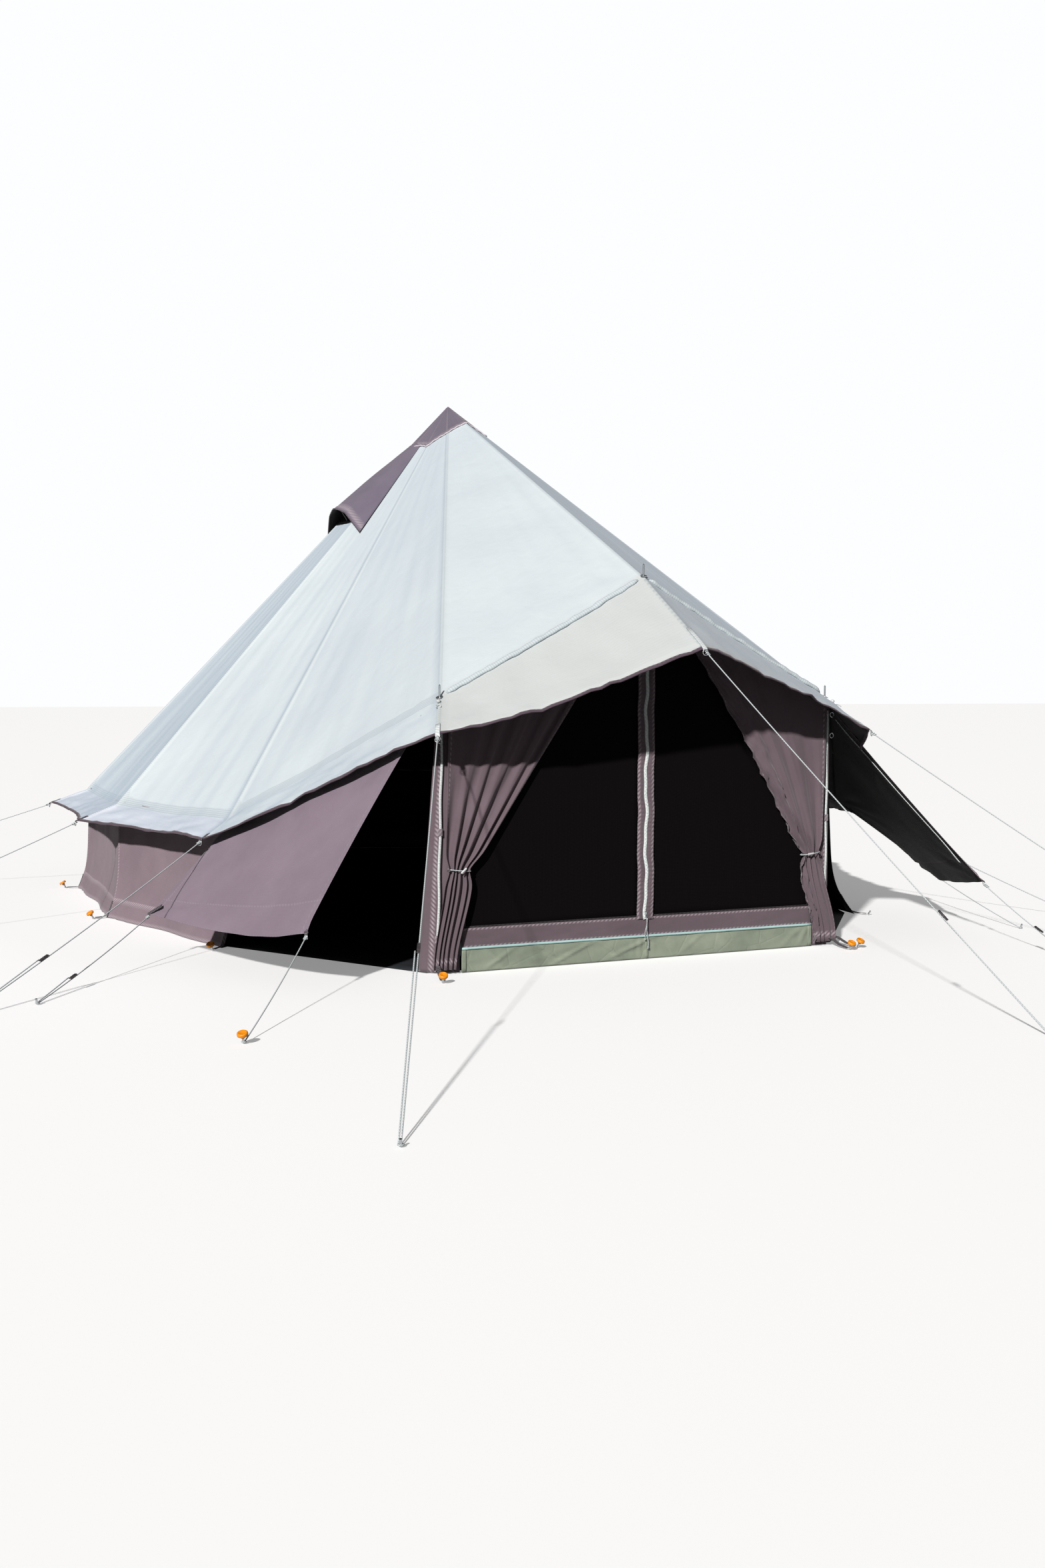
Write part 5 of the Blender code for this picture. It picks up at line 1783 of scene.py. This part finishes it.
for word, (side, panel_droop, *corners) in PANELS.items():
    tall_top, tall_foot, short_top, short_foot = (Vector(place) for place in corners)
    out = (short_top - tall_top).cross(tall_foot - tall_top).normalized()
    if out.z < 0:
        out = -out
    deep = ((tall_foot - tall_top).length + (short_foot - short_top).length) / 2
    wide = (short_foot - tall_foot).length

    def panel_spot(across, down, lift=0.0):
        """A place on the panel: across from its tall to its short edge, down from the roof (0) to its foot (1)."""
        spot = tall_top.lerp(short_top, across).lerp(tall_foot.lerp(short_foot, across), down)
        belly = 4.0 * across * (1.0 - across)
        hollow = -0.020 * belly * math.sin(math.pi * 0.9 * down)
        droop = panel_droop * belly * (1.0 + 0.5 * side * (2 * across - 1)) * down ** 3
        fan = 0.0
        for anchor in (tall_foot, short_foot, tall_top, short_top):
            fan += puckers(spot, anchor, PUCKER_REACH, 0.011, 15, 0.4)
        soft = 0.016 * noise.noise(Vector((across * 2.6 + down, down * 2.0 - across, side * 4.0)))
        loose = 0.012 * noise.noise(Vector((across * 7.0, down * 3.0, side * 2.0))) * down ** 2 * min(1.0, 3 * belly)
        held = min(1.0, down * 6.0)
        scoop = 0.030 * (4.0 * down * (1.0 - down)) * ((1.0 - across) ** 6 - 0.6 * across ** 6)
        spot = spot + out * (hollow + held * (fan + soft * belly + loose) + lift)
        spot += (short_top - tall_top).normalized() * scoop
        spot.z -= droop
        return spot

    hem, foot_hem = PANEL_HEM / wide, PANEL_FOOT_HEM / deep
    even_stops = {round(step / PANEL_STEPS, 4) for step in range(PANEL_STEPS + 1)}
    across_stops = sorted({0.0, 0.004, hem, hem + 0.006, 1 - hem - 0.006, 1 - hem, 0.996, 1.0} | even_stops)
    down_stops = sorted({0.0, 1 - foot_hem - 0.006, 1 - foot_hem, 0.996, 1.0} | even_stops)
    rows, stitches = [], []
    for down in down_stops:
        row, marks = [], []
        for across in across_stops:
            in_hem = across < hem + 1e-6 or across > 1 - hem - 1e-6 or down > 1 - foot_hem - 1e-6
            row.append(panel_spot(across, down, 0.0014 if in_hem else 0.0))
            line = min(
                abs(across - hem) * wide, abs(1 - across - hem) * wide,
                abs(1 - down - foot_hem) * deep, (1 - down) * deep, across * wide, (1 - across) * wide,
            )
            marks.append(0.6 if line < 0.003 else 0.0)
        rows.append(row)
        stitches.append(marks)
    panel, panel_area = cloth_sheet(
        f"side_door_panel_{word}", rows, PANEL_MAUVE_SKY_TINT, 0.0012, out, marks={"stitch": stitches}, inner=PANEL_UNDERSIDE_SHADE
    )
    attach(panel, f"panel_{word}")
    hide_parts(f"side_panel_{word}")
    edge_route = [panel_spot(0.042, 0.04 + 0.84 * step / 50, -0.0038) for step in range(51)]
    zip_run(f"panel_zip_{word}", edge_route, -out, f"panel_{word}", tape_wide=0.009, halves=(1,))
    for label, across in (("tall", 0.0), ("short", 1.0)):
        foot = panel_spot(across, 1.0)
        inward = (panel_spot(0.5, 0.4) - foot).normalized()
        patch_route = [foot + inward * (0.075 - 0.021 * step) + out * 0.0026 for step in range(5)]
        patch = strap_mesh(f"panel_tab_{word}_{label}", patch_route, out, 0.020, 0.0014, WEBBING)
        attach(patch, f"panel_{word}")
        ring_middle = foot - inward * 0.008 - Vector((0, 0, 0.006))
        ring_route = hoop(ring_middle, inward * 0.010, Vector((0, 0, 0.010)), 18)
        ring = tube_mesh(f"panel_ring_{word}_{label}", ring_route, 0.0015, 6, STEEL_WIRE, closed=True)
        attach(ring, f"panel_{word}")


# ---------------------------------------------------------------- poles
# Zinc-plated steel tubes stay as they were made, with faint drawing lines along them.
# The centre pole stands on a moulded rubber foot.
POLE_STEEL, pole_tree, pole_shader = new_finish("zinc_plated_drawn_tube", "#A9ADB0", 0.34, 1.0)
pole_place = add_node(pole_tree, "ShaderNodeTexCoord")
pole_stretch = add_node(
    pole_tree, "ShaderNodeMapping", {"Scale": (260.0, 260.0, 6.0)}, {0: pole_place.outputs["Object"]}
)
pole_lines = add_node(
    pole_tree, "ShaderNodeTexNoise", {"Scale": 1.0, "Detail": 5.0}, {"Vector": pole_stretch.outputs[0]}
)
pole_cloud = add_node(
    pole_tree, "ShaderNodeTexNoise", {"Scale": 18.0, "Detail": 6.0}, {"Vector": pole_place.outputs["Object"]}
)
pole_tint = add_node(
    pole_tree, "ShaderNodeMix", {"data_type": "RGBA", 6: linear("#8B9094"), 7: linear("#C6CACC")},
    {0: pole_cloud.outputs[0]},
)
pole_tree.links.new(pole_tint.outputs[2], pole_shader.inputs["Base Color"])
pole_dull = add_node(pole_tree, "ShaderNodeMapRange", {"To Min": 0.24, "To Max": 0.48}, {0: pole_lines.outputs[0]})
pole_tree.links.new(pole_dull.outputs[0], pole_shader.inputs["Roughness"])
pole_bump = add_node(
    pole_tree, "ShaderNodeBump", {"Strength": 0.15, "Distance": 0.0003}, {"Height": pole_lines.outputs[0]}
)
pole_tree.links.new(pole_bump.outputs["Normal"], pole_shader.inputs["Normal"])
for label in ("door_pole_centre", "door_pole_left", "door_pole_right", "centre_pole_lower", "centre_pole_upper"):
    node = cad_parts[label]
    node.data.materials.clear()
    node.data.materials.append(POLE_STEEL)
FOOT_RUBBER = moulded_nylon("moulded_black_rubber", "#1B1A1A", "#33302F", 0.8)
foot_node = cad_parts["centre_pole_foot"]
foot_node.data.materials.clear()
foot_node.data.materials.append(FOOT_RUBBER)
